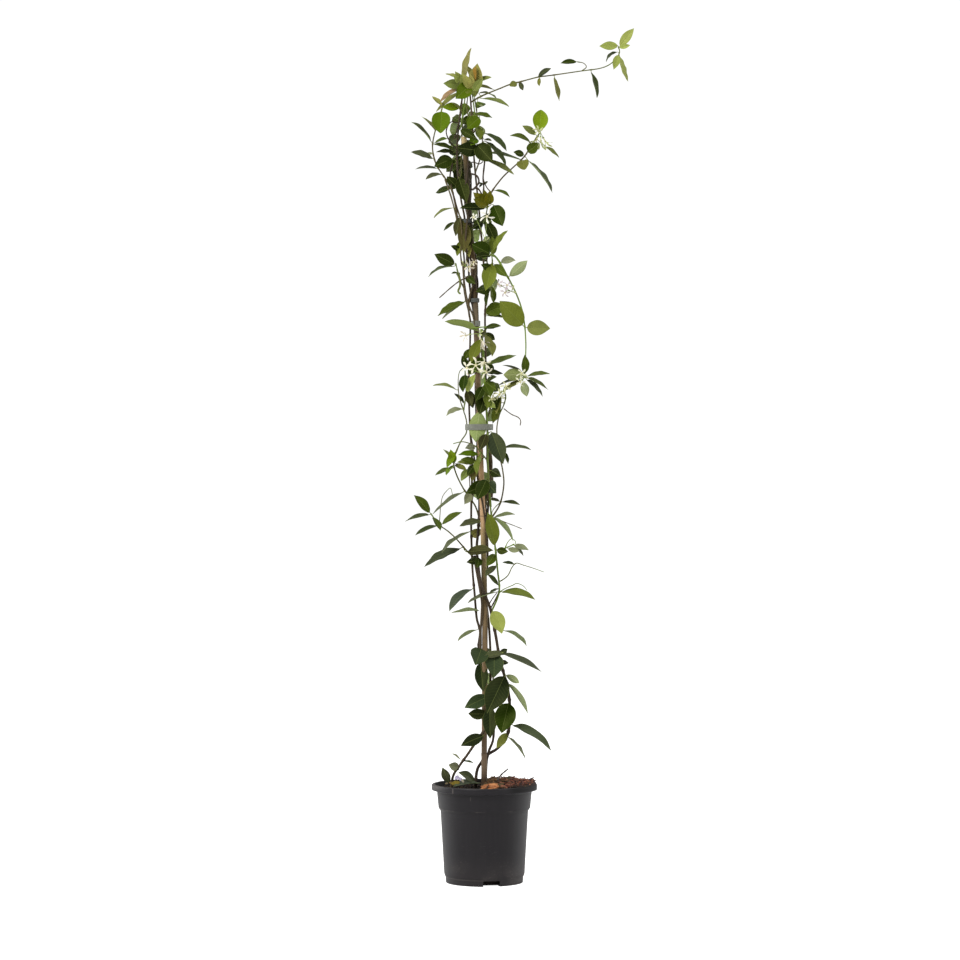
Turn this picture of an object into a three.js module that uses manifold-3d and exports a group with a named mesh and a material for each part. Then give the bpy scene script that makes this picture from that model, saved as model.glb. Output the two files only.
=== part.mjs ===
// Star jasmine (Trachelospermum jasminoides) twined up a bamboo cane in its nursery pot.
// Millimetres, +Z up. The origin is on the pot's axis, at the underside of its foot; -Y faces front.
import * as THREE from "three";
import { mergeVertices } from "three/addons/utils/BufferGeometryUtils.js";
import Module from "manifold-3d";

const wasm = await Module();
wasm.setup();

// ---------------------------------------------------------------- driving dimensions
const POT_HEIGHT = 157;
const RIM_RADIUS = 84.5;
const LIP_DEPTH = 9;
const BAND_RADIUS = 76;
const BAND_FOOT_RADIUS = 73.5;
const BAND_FOOT_HEIGHT = 119.5;
const BODY_RADIUS = 70.2;
const BODY_TOP_HEIGHT = 114.6;
const FOOT_RADIUS = 61.6;
const FOOT_HEIGHT = 9.5;
const WALL = 1.6;
const FLOOR = 2.6;
const DRAIN_WIDTH = 27;
const DRAIN_HEIGHT = 9;
const DRAIN_DEPTH = 16;
const DRAIN_TURN = 10.7;
const DRAINS = 4;

const SOIL_LEVEL = 149.5;
const SOIL_RADIUS = 74.6;

// The heap of bark on the right. It lies on the soil, climbs from its left edge to its top, and hangs
// over the lip. A flat seat is left in it for the large chip at the front.
const MULCH_BASE = 151.6;
const HEAP_CENTRE = [22, 0];
const HEAP_LEFT = 22;
const HEAP_LOW = 153;
const HEAP_RISE = 9.5;
const HEAP_FALL = 0.028;
const HEAP_OVERHANG_RADIUS = 80;
const CHIP_SEAT = { centre: [8, -63], radius: 26, level: POT_HEIGHT - 0.3, slope: 0.45 };
const CHIP_SIZE = [31, 39, 3.5];
const CHIP_TURN = 0.12;

const DRY_TWIG_RADII = [1, 0.7];
const DRY_TWIG_ROUTE = [[22, -6, 156], [29, -6, 168], [37, -5, 181]];

const CANE_RADIUS = 4.5;
const CANE_FOOT = 22;

const TWIG_SIDES = 4;
const STEM_STEP = 45;
const TWIG_STEP = 26;
const STEM_LEAST_RADIUS = 1.5;

// Pieces that touch stand this far apart.
const GAP = 0.3;

// A leaf: its stalk is sunk in the twig at PETIOLE_ROOT and flares to PETIOLE_HALF_WIDTH.
const PETIOLE_HALF_WIDTH = 0.9;
const PETIOLE_ROOT = 0.35;
const PETIOLE_SHARE = 0.09;
const LONG_PETIOLE = 10;
const LEAF_ASPECT = 0.42;
const LEAF_THICKNESS = 1.5;
const LEAF_FOLD = 0.28;
const LEAF_CURL = 0.05;
const LEAF_THINNING = 0.35;

const FLOWER_TUBE = 8;
const FLOWER_STALK_RADIUS = 0.75;
const FLOWER_THROAT_RADIUS = 1.8;
const PETAL_THICKNESS = 0.9;

// ---------------------------------------------------------------- colours
const POT_PLASTIC = { color: 0x2b2a2b, roughness: 0.55 };
const PEAT = { color: 0x1d1713, roughness: 1 };
const MULCH = { color: 0x5a3020, roughness: 0.95 };
const ORANGE_BARK = { color: 0xb5632c, roughness: 0.85 };
const BAMBOO = { color: 0x9c7a52, roughness: 0.6 };
const WOOD = { color: 0x4c3b2c, roughness: 0.8 };
const RUNNER_GREEN = { color: 0x6f8a34, roughness: 0.5 };
const LEAF_DARK = { color: 0x33472a, roughness: 0.4 };
const LEAF_MID = { color: 0x47662c, roughness: 0.4 };
const LEAF_YOUNG = { color: 0x6f8d33, roughness: 0.45 };
const LEAF_BRONZE = { color: 0x7d6f35, roughness: 0.45 };
const PETAL_WHITE = { color: 0xe9e6d4, roughness: 0.6 };
const TIE_GREY = { color: 0x8c8f88, roughness: 0.5 };
const TIE_DARK = { color: 0x3b3d3b, roughness: 0.5 };
const DRY_TWIG = { color: 0x5b4a3c, roughness: 0.9 };

// ---------------------------------------------------------------- stems and shoots
// A twig is [radius at its root, radius at its tip, route]; a route is a list of [x, y, z].
// A leaf is [x and z where its blade starts, x and z of its tip, how far the tip leans back (+) or
// forward (-), the width that shows from the front, sideways bow]. A minus sign on the width marks a
// leaf that turns its pale underside to the front.
const SHOOTS = [
  {
    name: "woody_stem_left",
    look: WOOD,
    twigs: [
      [1.6, 1.1, [[-56, -2, 118], [-52, -4, 166], [-40, -6, 188], [-28, -8, 203], [-15, -9, 222],
        [-6, -10, 235], [4, -10, 250], [8, -6, 270], [9, 0, 300], [10, 4, 350], [8, 8, 400],
        [3, 9, 450], [-1, 9, 500], [3, 9, 550], [6, 7, 600], [10, 4, 640], [9, 3, 680],
        [5, 5, 720], [3, 7, 770], [2, 7, 820], [2, 6, 860], [1, 5, 900], [2, 5, 930],
        [1, 6, 960], [-2, 8, 1000], [-6, 8, 1050], [-10, 8, 1090], [-15, 7, 1140],
        [-18, 3, 1180], [-20, 0, 1220], [-22, -2, 1250], [-24, 0, 1270]]],
    ],
    leaves: [
      [-57, 160, -67, 185, -10, 14], [-40, 187, -57, 189, -14, 11], [-38, 196, -52, 207, -8, 4],
      [-5, 231, -38, 221, -20, 17, 0.05], [5, 297, -32, 280, -18, 22], [12, 283, 9, 230, -20, 18],
      [3, 268, -26, 269, 16, 16], [3, 910, 30, 922, -20, 20], [-14, 1229, 13, 1221, -10, 9],
      [-18, 1225, -22, 1200, -16, 20], [-13, 1212, -8, 1183, -24, 12],
    ],
  },
  {
    name: "woody_stem_right",
    look: WOOD,
    twigs: [
      [2.4, 1.3, [[-16, 4, 105], [-13, 8, 170], [-5, 10, 190], [6, 9, 203], [22, 5, 214],
        [36, 0, 233], [41, -2, 262], [39, -2, 300], [32, -2, 330], [24, 0, 360], [18, 2, 395],
        [10, -3, 435], [3, -9, 455], [-6, -10, 480], [-12, -3, 530], [-10, 7, 560],
        [-8, 9, 600], [-9, 9, 650], [-10, 8, 700], [-13, 8, 750], [-14, 8, 800],
        [-14, 9, 850], [-15.5, 8, 895], [-20, 6.2, 930], [-24, 6, 960], [-26, 6, 1000],
        [-30, 6, 1040], [-32, 6, 1065], [-37, 7, 1090], [-41, 6, 1120], [-44, 4, 1160],
        [-42, 2, 1200], [-38, 0, 1235], [-34, 0, 1265]]],
    ],
    leaves: [
      [-17, 164, -42, 176, -26, 16, 0.15], [-12, 160, -50, 158, -34, 12],
      [42, 256, 108, 210, -12, 17, 0.08], [39, 293, 27, 240, -22, 34], [37, 240, 19, 215, -16, 14],
      [31, 328, 4, 268, -30, 34], [28, 366, 93, 336, -14, 13, 0.08], [16, 362, 14, 328, -40, 26],
      [19, 366, 0, 358, 14, 10], [24, 364, 37, 372, 8, 10], [30, 402, 69, 375, 16, 8, 0.1],
      [9, 432, 24, 397, -26, 22], [-9, 515, -29, 512, -20, 12], [-5, 578, -40, 569, -14, 13],
      [-7, 560, -21, 560, 20, 13], [-52, 1157, -80, 1143, -20, 22], [-50, 1168, -78, 1169, 10, 9],
      [-44, 1135, -32, 1085, -24, 16], [-39, 1240, -68, 1238, -10, 12],
      [-48, 1172, -82, 1178, -18, 10],
    ],
  },
  {
    name: "woody_stem_middle",
    look: WOOD,
    twigs: [
      [2, 1.2, [[2, 9, 105], [3, 9, 180], [7, 2, 208], [14, 0, 228], [15, 3, 258], [11, 8, 285],
        [-1, 9, 325], [-9, 7, 372], [-7, 8, 400], [-12, 6, 420], [-14, 4, 440], [-16, 1, 465],
        [-19, 2, 500], [-21, 2, 560], [-21, 2, 600], [-20, 3, 640], [-20, 2, 680],
        [-23, 0, 727], [-25, 0, 780], [-25, 1, 820], [-23, 2, 860], [-23, 1, 900],
        [-28, 1, 925], [-32, 1, 945], [-33, 1, 965], [-32, 0, 990], [-35, -1, 1020],
        [-41, -2, 1050], [-46, -2, 1080], [-52, 0, 1110]]],
    ],
    leaves: [
      [-7, 352, -3, 305, -24, 22], [-4, 372, -13, 350, -46, 22], [-6, 408, -43, 384, 12, 7, 0.05],
      [-12, 434, -53, 431, -18, 7], [-20, 468, -56, 433, -20, 15, 0.2],
      [-22, 561, -68, 527, -12, 9, 0.1], [-38, 1011, -54, 1017, -14, 7],
      [-33, 930, -75, 905, -10, 15], [-35, 925, -68, 901, 14, 8],
      [-50, 1078, -81, 1060, -12, 7, 0.1], [-48, 1055, -66, 1042, 12, 7],
      [-54, 1110, -79, 1105, -16, 12], [-34, 1057, -33, 1005, -22, 22],
    ],
  },
  {
    name: "green_runner",
    look: RUNNER_GREEN,
    from: "woody_stem_right",
    twigs: [
      [1.4, 1.1, [[11, -2, 432], [20, -4, 452], [24, -7, 470], [21, -9, 500], [18, -10, 530],
        [14, -11, 560], [11, -12, 585], [8, -13, 625], [6, -12, 660], [6, -10, 700],
        [5, -7, 727], [4, -9, 752], [1, -12, 775], [0, -13, 810], [-2, -13, 850],
        [-4, -12, 884]]],
      [0.8, 0.5, [[22, -6, 461], [30, -9, 468], [45, -12, 475], [52, -12, 478], [62, -10, 474],
        [68, -8, 467]]],
    ],
    leaves: [
      [24, 466, 82, 452, -20, 15, 0.06], [22, 473, 4, 493, -12, 8], [18, 506, 1, 489, -20, 10],
      [18, 525, 3, 506, -26, 14], [17, 533, 4, 592, -16, -20], [15, 583, 50, 588, 16, 7],
      [4, 640, -30, 622, -26, 20], [9, 640, 22, 622, -34, 20], [4, 643, -12, 610, -40, 18],
      [7, 658, 23, 648, -34, 15], [12, 719, 30, 668, -22, 28], [3, 716, -8, 690, -26, 16],
      [1, 752, -14, 703, 3, -24], [5, 828, 52, 842, -14, 12, -0.1], [5, 815, 30, 813, 14, 9],
      [4, 802, 20, 807, -22, 9], [0, 790, 5, 755, -26, 12], [1, 798, 10, 774, -38, 16],
      [-5, 868, -22, 828, -18, 18], [2, 875, 12, 838, -24, 15], [-8, 882, -64, 896, -14, 13],
      [0, 885, 27, 888, -16, 9], [2, 878, 17, 866, 12, 8],
    ],
  },
  {
    name: "low_right_sprig",
    look: LEAF_MID,
    from: "green_runner",
    twigs: [
      [1, 0.7, [[18, -10, 531], [30, -8, 533], [40, -9, 537], [48, -10, 541]]],
      [0.7, 0.5, [[33, -8, 534], [37, -5, 543], [43, -4, 549], [49, -5, 546], [50, -9, 541]]],
    ],
    leaves: [
      [23, 531, 38, 527, -16, 11], [38, 533, 57, 530, -10, 9], [48, 540, 71, 531, -10, 10],
      [49, 537, 63, 521, 8, 6],
    ],
  },
  {
    name: "low_right_tendril",
    look: LEAF_DARK,
    from: "green_runner",
    twigs: [
      [0.9, 0.5, [[22.5, -8, 480], [30, -6, 484], [38, -4, 491], [44, -3, 503], [51, -2, 510],
        [62, -2, 507], [78, -3, 502], [95, -4, 496]]],
    ],
    leaves: [
      [49, 509, 28, 511, 8, 6],
    ],
  },
  {
    name: "low_left_spray",
    look: LEAF_MID,
    from: "woody_stem_middle",
    twigs: [
      [1.2, 0.8, [[-20, 2, 522], [-30, -5, 532], [-45, -6, 549], [-58, -4, 561], [-68, -2, 568],
        [-73, 0, 574], [-82, 2, 584], [-86, 2, 590]]],
      [0.7, 0.5, [[-72, 0, 573], [-71, -3, 587], [-70, -5, 600], [-67, -6, 616], [-60, -7, 626],
        [-54, -7, 630], [-51, -7, 620]]],
    ],
    leaves: [
      [-27, 531, 15, 535, -24, 16], [-31, 531, -96, 504, -16, 17], [-68, 573, -35, 592, -14, 12],
      [-86, 592, -113, 619, -14, 15], [-88, 590, -128, 576, 12, 9], [-76, 570, -111, 554, -10, 9],
      [-84, 584, -70, 562, -26, 10],
    ],
  },
  {
    name: "right_climber",
    look: LEAF_DARK,
    from: "green_runner",
    twigs: [
      [1.2, 0.9, [[12, -11.5, 583], [25, -9, 605], [31, -7, 635], [29, -6, 660], [24, -8, 682],
        [21, -10, 705], [20, -11, 727], [24, -11, 747], [31, -10, 763], [34, -9, 776],
        [31, -9, 788]]],
    ],
    leaves: [
      [14, 583, 46, 545, -12, 7, 0.12], [27, 608, 57, 603, -14, 7], [25, 607, 6, 613, 14, 6],
      [24, 694, 75, 691, -14, 8, 0.06], [29, 690, 38, 668, -12, 8], [26, 776, 19, 748, -22, 11],
      [26, 765, 14, 733, 10, 12],
    ],
  },
  {
    name: "left_climber",
    look: LEAF_MID,
    from: "woody_stem_right",
    twigs: [
      [1.2, 0.9, [[-8.5, 8.6, 583], [-14, 10, 600], [-23, 9, 614], [-34, 4, 630], [-44, 0, 650],
        [-49, -2, 668], [-46, -3, 685], [-38, -3, 704], [-29.5, -1.5, 717], [-28, -1, 727],
        [-28.6, -2, 737], [-31, -3, 747], [-33, -4, 754], [-31, -6, 768], [-29, -7, 785],
        [-30, -7, 802], [-31, -6, 818]]],
      [0.8, 0.6, [[-33, -4, 754], [-40, -7, 775], [-42, -8, 798], [-40, -9, 815], [-34, -10, 822]]],
    ],
    leaves: [
      [-33, 625, -83, 588, -16, 9], [-22, 622, -32, 604, -22, 14], [-49, 670, -54, 692, -14, 14],
      [-50, 664, -79, 650, -10, 8], [-49, 671, -67, 693, 12, 6], [-49, 667, -61, 650, -26, 8],
      [-47, 667, -28, 658, -16, 8], [-34, 757, -61, 745, -10, 9, 0.15],
      [-40, 784, -83, 793, -12, 8, 0.1], [-33, 764, -49, 782, 14, 7], [-29, 783, -14, 812, -18, 13],
      [-31, 812, -34, 782, -26, 15],
    ],
  },
  {
    name: "front_sprig",
    look: LEAF_MID,
    from: "green_runner",
    twigs: [
      [1, 0.7, [[6, -12, 672], [0, -14, 680], [-8, -14, 690], [-16, -13, 698], [-34, -11, 704],
        [-50, -10, 701]]],
      [0.9, 0.6, [[0, -14, 680], [-8, -14, 672], [-17, -13, 667], [-26, -12, 661]]],
    ],
    leaves: [
      [-10, 684, -42, 683, -12, 11], [-14, 697, -31, 693, -26, 11], [-17, 668, -44, 671, -10, 8],
      [-17, 666, -28, 650, -22, 12], [-27, 660, -37, 641, -14, 12], [-8, 687, -12, 652, -24, 11],
    ],
  },
  {
    name: "right_arch",
    look: LEAF_YOUNG,
    from: "woody_stem_left",
    twigs: [
      [1.4, 0.9, [[-2, 8, 998], [7, 8, 1003], [17, 2, 1001], [27, -3, 987], [36, -5, 970],
        [43, -6, 957], [52, -7, 938], [60, -8, 915], [64, -8, 893], [66, -8, 868],
        [66, -8, 845], [64, -9, 822], [65, -10, 806]]],
    ],
    leaves: [
      [62, 889, 22, 930, -18, 30], [68, 887, 105, 884, -16, 25], [24, 992, 50, 993, -12, 12, 0.2],
      [39, 968, 69, 993, -14, -17], [66, 810, 64, 843, -16, 13], [69, 809, 105, 812, -10, 9],
      [69, 806, 103, 787, 14, 9], [68, 803, 94, 776, -12, 9], [62, 799, 68, 776, -20, -14],
      [62, 812, 30, 810, -16, -20], [60, 815, 28, 827, 14, 6], [60, 802, 30, 784, -10, 9],
      [56, 804, 20, 793, 16, 7],
    ],
  },
  {
    name: "front_tuft",
    look: LEAF_MID,
    from: "woody_stem_left",
    twigs: [
      [1.1, 0.8, [[2, 5.5, 936], [9, 0, 948], [12, -6, 962], [13, -10, 985], [12, -11, 1000],
        [10, -12, 1012]]],
    ],
    leaves: [
      [12, 990, -5, 946, -20, 20], [8, 948, -14, 943, -22, 12], [7, 948, 4, 920, -16, 8],
      [12, 950, 14, 926, 12, 7], [10, 1003, -20, 1018, -16, 20], [9, 1001, -14, 996, -32, 12],
      [15, 1006, 38, 1041, -14, 11], [16, 987, 36, 966, -16, 14],
    ],
  },
  {
    name: "left_sprig",
    look: LEAF_DARK,
    from: "woody_stem_middle",
    twigs: [
      [1.1, 0.8, [[-32.5, 1, 950], [-38, -4, 961], [-42, -6, 973], [-46, -7, 990]]],
      [0.8, 0.6, [[-42, -6, 973], [-39, -10, 962], [-39, -12, 952], [-42, -13, 944],
        [-38, -13, 940]]],
    ],
    leaves: [
      [-48, 988, -80, 1003, -14, 19], [-48, 986, -90, 966, -10, 8, 0.15],
    ],
  },
  {
    name: "high_front_tuft",
    look: LEAF_MID,
    from: "woody_stem_left",
    twigs: [
      [1.1, 0.8, [[-7, 8, 1050], [-1, 3, 1060], [3, -5, 1069], [5, -11, 1080]]],
    ],
    leaves: [
      [8, 1078, 25, 1046, -24, 24], [5, 1084, 10, 1108, -26, 22], [2, 1080, -18, 1087, -24, 12],
      [2, 1077, -40, 1076, -10, 15], [0, 1061, -18, 1050, -20, 10], [2, 1060, 20, 1018, -16, 18],
    ],
  },
  {
    name: "upper_right_shoot",
    look: LEAF_MID,
    from: "woody_stem_left",
    twigs: [
      [1.3, 0.9, [[-9, 8, 1078], [2, 6, 1090], [11, 2, 1103], [17, 0, 1112], [30, -2, 1128],
        [45, -3, 1142], [57, -3, 1153], [66, -3, 1163], [73, -4, 1175], [81, -5, 1187],
        [88, -5, 1197]]],
      [0.9, 0.7, [[11, 2, 1103], [3, 5, 1113], [-2, 3, 1128], [0, 1, 1148]]],
    ],
    leaves: [
      [14, 1106, 41, 1094, -10, 8, 0.1], [60, 1155, 64, 1137, -18, 20],
      [63, 1163, 46, 1166, -14, 11], [68, 1165, 87, 1180, -14, 18], [70, 1154, 109, 1100, -12, 8],
      [76, 1183, 40, 1192, -10, 9, 0.2], [82, 1195, 60, 1208, -12, 11],
      [88, 1203, 91, 1236, -12, 25], [98, 1176, 120, 1159, 10, 8],
    ],
  },
  {
    name: "upper_middle_shoot",
    look: LEAF_DARK,
    from: "woody_stem_left",
    twigs: [
      [1.1, 0.8, [[-14.5, 7, 1136], [-9, 0, 1150], [-5, -7, 1165], [-3, -8, 1185], [-3, -7, 1205]]],
    ],
    leaves: [
      [-12, 1172, -45, 1175, -18, 18], [-9, 1178, 12, 1150, -24, 24],
      [-1, 1204, 36, 1166, -14, 11, 0.15], [2, 1184, 35, 1143, -16, 12],
      [0, 1155, 48, 1130, -10, 10], [5, 1166, 60, 1155, 12, 7],
    ],
  },
  {
    name: "left_top_spray",
    look: LEAF_MID,
    from: "woody_stem_middle",
    twigs: [
      [1.2, 0.9, [[-50, -0.5, 1100], [-57, -1, 1117], [-68, -2, 1133], [-78, -2, 1150],
        [-83, -2, 1175], [-79, -2, 1200], [-72, -2, 1222], [-67, -2, 1240]]],
    ],
    leaves: [
      [-68, 1131, -94, 1122, -12, 8, 0.15], [-76, 1141, -112, 1141, 12, 6],
      [-80, 1153, -118, 1166, -12, 12], [-82, 1165, -98, 1163, 14, 6],
      [-84, 1180, -118, 1215, -10, 7, 0.05], [-78, 1202, -101, 1226, 12, 8],
      [-81, 1183, -58, 1186, -16, 9], [-68, 1238, -70, 1195, -20, 30],
      [-68, 1242, -84, 1258, 10, 8],
    ],
  },
  {
    name: "left_crown_shoot",
    look: LEAF_BRONZE,
    from: "woody_stem_right",
    twigs: [
      [1.1, 0.9, [[-34.5, 0, 1262], [-33, -1, 1272], [-32, -2, 1282]]],
    ],
    leaves: [
      [-32, 1283, -21, 1334, -8, 13], [-36, 1283, -63, 1294, 10, 7],
      [-35, 1279, -47, 1295, -14, 10], [-34, 1272, -66, 1276, -12, 16],
      [-36, 1270, -70, 1248, -14, 10], [-34, 1265, -78, 1233, 14, 9],
    ],
  },
  {
    name: "right_crown_shoot",
    look: LEAF_BRONZE,
    from: "woody_stem_left",
    twigs: [
      [1.1, 0.9, [[-23.6, 0, 1266], [-21, -2, 1275], [-18, -3, 1284]]],
    ],
    leaves: [
      [-17, 1285, -10, 1312, -12, 20], [-15, 1279, 12, 1286, -10, 9], [-18, 1274, 17, 1268, 10, 8],
      [-21, 1275, -40, 1248, -20, 22], [-20, 1283, -28, 1308, 12, 9],
    ],
  },
  {
    name: "top_whip",
    look: LEAF_YOUNG,
    from: "woody_stem_left",
    twigs: [
      [1.2, 0.8, [[-21.8, -2, 1247], [-12, -3, 1253], [0, -3, 1259], [20, -4, 1267], [45, -4, 1277],
        [55, -4, 1279], [85, -4, 1287], [100, -4, 1289], [115, -4, 1291], [150, -5, 1296],
        [165, -5, 1298], [185, -5, 1301], [200, -5, 1307], [211, -5, 1317], [216, -5, 1327],
        [214, -5, 1336]]],
      [0.8, 0.6, [[156, -5, 1297], [163, -7, 1303], [158, -8, 1309], [148, -8, 1311]]],
    ],
    leaves: [
      [-12, 1252, 40, 1238, -12, 8, 0.08], [-8, 1262, 22, 1252, 12, 6, 0.15],
      [53, 1279, 40, 1271, -12, 11], [56, 1280, 62, 1267, 10, 8], [86, 1288, 107, 1300, -10, 9],
      [112, 1289, 120, 1247, -8, 10, -0.1], [147, 1311, 121, 1307, -10, 10],
      [168, 1297, 180, 1252, -8, 11], [214, 1337, 239, 1364, -8, 15],
      [213, 1337, 183, 1335, -10, 14], [212, 1327, 195, 1312, 10, 6, 0.2],
      [213, 1324, 206, 1297, -12, 12], [217, 1322, 231, 1280, 8, 11, -0.15],
    ],
  },
  {
    name: "back_shoot_low",
    look: LEAF_DARK,
    from: "woody_stem_left",
    twigs: [
      [1.2, 0.8, [[9, 0.5, 305], [14, 10, 318], [12, 15, 345], [5, 16, 372]]],
    ],
    leaves: [
      [14, 318, 28, 292, 46, 26], [12, 330, -6, 320, 46, 22], [11, 350, 26, 342, 44, 22],
      [6, 372, -4, 360, 44, 18],
    ],
  },
  {
    name: "back_shoot_lower_middle",
    look: LEAF_MID,
    from: "woody_stem_left",
    twigs: [
      [1.2, 0.8, [[3, 9, 552], [7, 16, 570], [5, 19, 600], [-2, 19, 628], [-6, 18, 655]]],
    ],
    leaves: [
      [6, 575, 14, 552, 46, 18], [2, 608, 12, 632, 46, 18], [-1, 628, -20, 618, 42, 20],
      [-5, 650, -22, 662, 40, 18], [-5, 656, 4, 640, 46, 20],
    ],
  },
  {
    name: "back_shoot_middle",
    look: LEAF_DARK,
    from: "woody_stem_left",
    twigs: [
      [1.2, 0.8, [[4, 6.5, 740], [9, 13, 756], [8, 18, 785], [1, 19, 815], [-4, 18, 840],
        [-5, 17, 868]]],
    ],
    leaves: [
      [9, 760, 16, 738, 44, 22], [8, 785, 22, 800, 42, 20], [1, 812, -16, 800, 44, 22],
      [-4, 840, 12, 856, 44, 18], [-5, 866, -20, 846, 42, 20],
    ],
  },
  {
    name: "back_shoot_upper_middle",
    look: LEAF_MID,
    from: "woody_stem_left",
    twigs: [
      [1.2, 0.8, [[1.5, 6, 952], [6, 14, 968], [4, 18, 995], [-3, 19, 1022], [-8, 18, 1050],
        [-12, 17, 1078]]],
    ],
    leaves: [
      [6, 970, 18, 950, 42, 18], [4, 995, -10, 1012, 44, 20], [-3, 1022, 12, 1032, 40, 18],
      [-8, 1048, -22, 1030, 42, 20], [-9, 1060, 12, 1062, 42, 20], [-12, 1078, -26, 1066, 40, 18],
    ],
  },
  {
    name: "back_shoot_high",
    look: LEAF_MID,
    from: "woody_stem_right",
    twigs: [
      [1.2, 0.8, [[-41, 6, 1122], [-38, 13, 1140], [-36, 16, 1170], [-36, 15, 1200],
        [-34, 12, 1228]]],
    ],
    leaves: [
      [-38, 1142, -22, 1158, 44, 20], [-37, 1150, -56, 1158, 44, 20],
      [-36, 1180, -54, 1170, 42, 22], [-36, 1200, -20, 1212, 42, 20],
      [-35, 1212, -56, 1208, 42, 20], [-34, 1228, -30, 1252, 36, 18],
    ],
  },
  {
    name: "back_shoot_crown",
    look: LEAF_YOUNG,
    from: "woody_stem_left",
    twigs: [
      [1.1, 0.8, [[-19, 2, 1196], [-12, 10, 1210], [-12, 12, 1232], [-16, 11, 1256]]],
    ],
    leaves: [
      [-12, 1212, -2, 1198, 40, 16], [-12, 1232, -26, 1226, 42, 18], [-13, 1240, 0, 1252, 36, 14],
      [-16, 1258, -14, 1284, 24, 14],
    ],
  },
];

// A flower is [x, y, z of its eye, the way it faces, petal length]. Its stalk leaves the twig of the
// named shoot at `root` and bends through `fork`.
const BLOOMS = [
  {
    name: "bloom_cluster_middle",
    from: "green_runner",
    root: [0, -13, 806],
    fork: [-4, -24, 812],
    flowers: [
      [-13.7, -36, 825, [-0.1, -1, 0.15], 13], [0, -34, 829, [0.2, -0.7, 0.7], 11],
      [3, -38, 814, [0.3, -1, -0.3], 10], [-28, -30, 821, [-0.7, -0.8, 0.1], 11],
    ],
  },
  {
    name: "bloom_pair_right",
    from: "right_arch",
    root: [65, -10, 809],
    fork: [63, -18, 806],
    flowers: [
      [59, -32, 812, [-0.4, -1, 0.4], 9], [57, -34, 799, [-0.4, -0.9, -0.5], 9],
    ],
  },
  {
    name: "bloom_drop_right",
    from: "right_climber",
    root: [31.5, -9, 785],
    fork: [29, -18, 784],
    flowers: [
      [24, -32, 779, [-0.3, -1, -0.5], 10], [34, -32, 792, [0.3, -1, 0.3], 9],
      [12, -30, 772, [-0.6, -0.7, -0.3], 8],
    ],
  },
  {
    name: "bloom_arch",
    from: "right_arch",
    root: [51, -7, 940],
    fork: [43, -12, 944],
    flowers: [
      [36, -24, 953, [0.1, -0.8, 0.7], 9], [22, -22, 955, [-0.8, -0.6, 0.4], 9],
      [33, -28, 941, [-0.3, -0.9, -0.4], 8],
    ],
  },
  {
    name: "bloom_front",
    from: "green_runner",
    root: [-4, -12, 880],
    fork: [-8, -20, 876],
    flowers: [
      [3, -30, 852, [0.5, -0.3, -0.9], 8], [-29, -26, 873, [-0.9, -0.6, 0.2], 9],
    ],
  },
  {
    name: "bloom_tuft",
    from: "front_tuft",
    root: [10, -12, 1010],
    fork: [2, -20, 1024],
    flowers: [
      [-2, -30, 1062, [-0.1, -0.9, 0.5], 9],
    ],
  },
  {
    name: "bloom_left",
    from: "woody_stem_middle",
    root: [-32, 0, 988],
    fork: [-30, -10, 984],
    flowers: [
      [-24, -18, 983, [0.3, -1, 0.1], 9],
    ],
  },
  {
    name: "bloom_top_right",
    from: "upper_right_shoot",
    root: [87, -5, 1196],
    fork: [89, -9, 1200],
    flowers: [
      [81, -14, 1186, [-0.4, -0.3, -1], 9], [91, -18, 1180, [0.1, -0.3, -1], 10],
      [99, -12, 1182, [0.6, -0.2, -0.8], 10],
    ],
  },
];

// ---------------------------------------------------------------- solids
const vector = ([x, y, z]) => new THREE.Vector3(x, y, z);

// A closed three.js geometry as a solid that can be cut and joined.
function solidFrom(geometry) {
  const bare = new THREE.BufferGeometry();
  bare.setAttribute("position", geometry.getAttribute("position"));
  bare.setIndex(geometry.index);
  const merged = mergeVertices(bare, 1e-4);
  const corners = merged.index.array;
  const faces = [];
  for (let i = 0; i < corners.length; i += 3) {
    const [a, b, c] = corners.slice(i, i + 3);
    if (a !== b && b !== c && c !== a) faces.push(a, b, c);
  }
  const positions = merged.getAttribute("position").array;
  let sixVolumes = 0;
  for (let i = 0; i < faces.length; i += 3) {
    const [a, b, c] = faces.slice(i, i + 3).map((v) => vector(positions.slice(3 * v, 3 * v + 3)));
    sixVolumes += a.dot(b.cross(c));
  }
  if (sixVolumes < 0) faces.reverse();
  return new wasm.Manifold(
    new wasm.Mesh({ numProp: 3, vertProperties: positions, triVerts: new Uint32Array(faces) }),
  );
}

function geometryFrom(solid) {
  const { numProp, vertProperties, triVerts } = solid.getMesh();
  const positions = new Float32Array((vertProperties.length / numProp) * 3);
  for (let i = 0; i * numProp < vertProperties.length; i++)
    positions.set(vertProperties.subarray(i * numProp, i * numProp + 3), i * 3);
  const geometry = new THREE.BufferGeometry();
  geometry.setAttribute("position", new THREE.BufferAttribute(positions, 3));
  geometry.setIndex(new THREE.BufferAttribute(triVerts, 1));
  geometry.computeVertexNormals();
  return geometry;
}

// The largest body of a solid: what a trim leaves behind as scraps is dropped.
function largest(solid) {
  return solid.decompose().reduce((best, body) => (body.volume() > best.volume() ? body : best));
}

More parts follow.
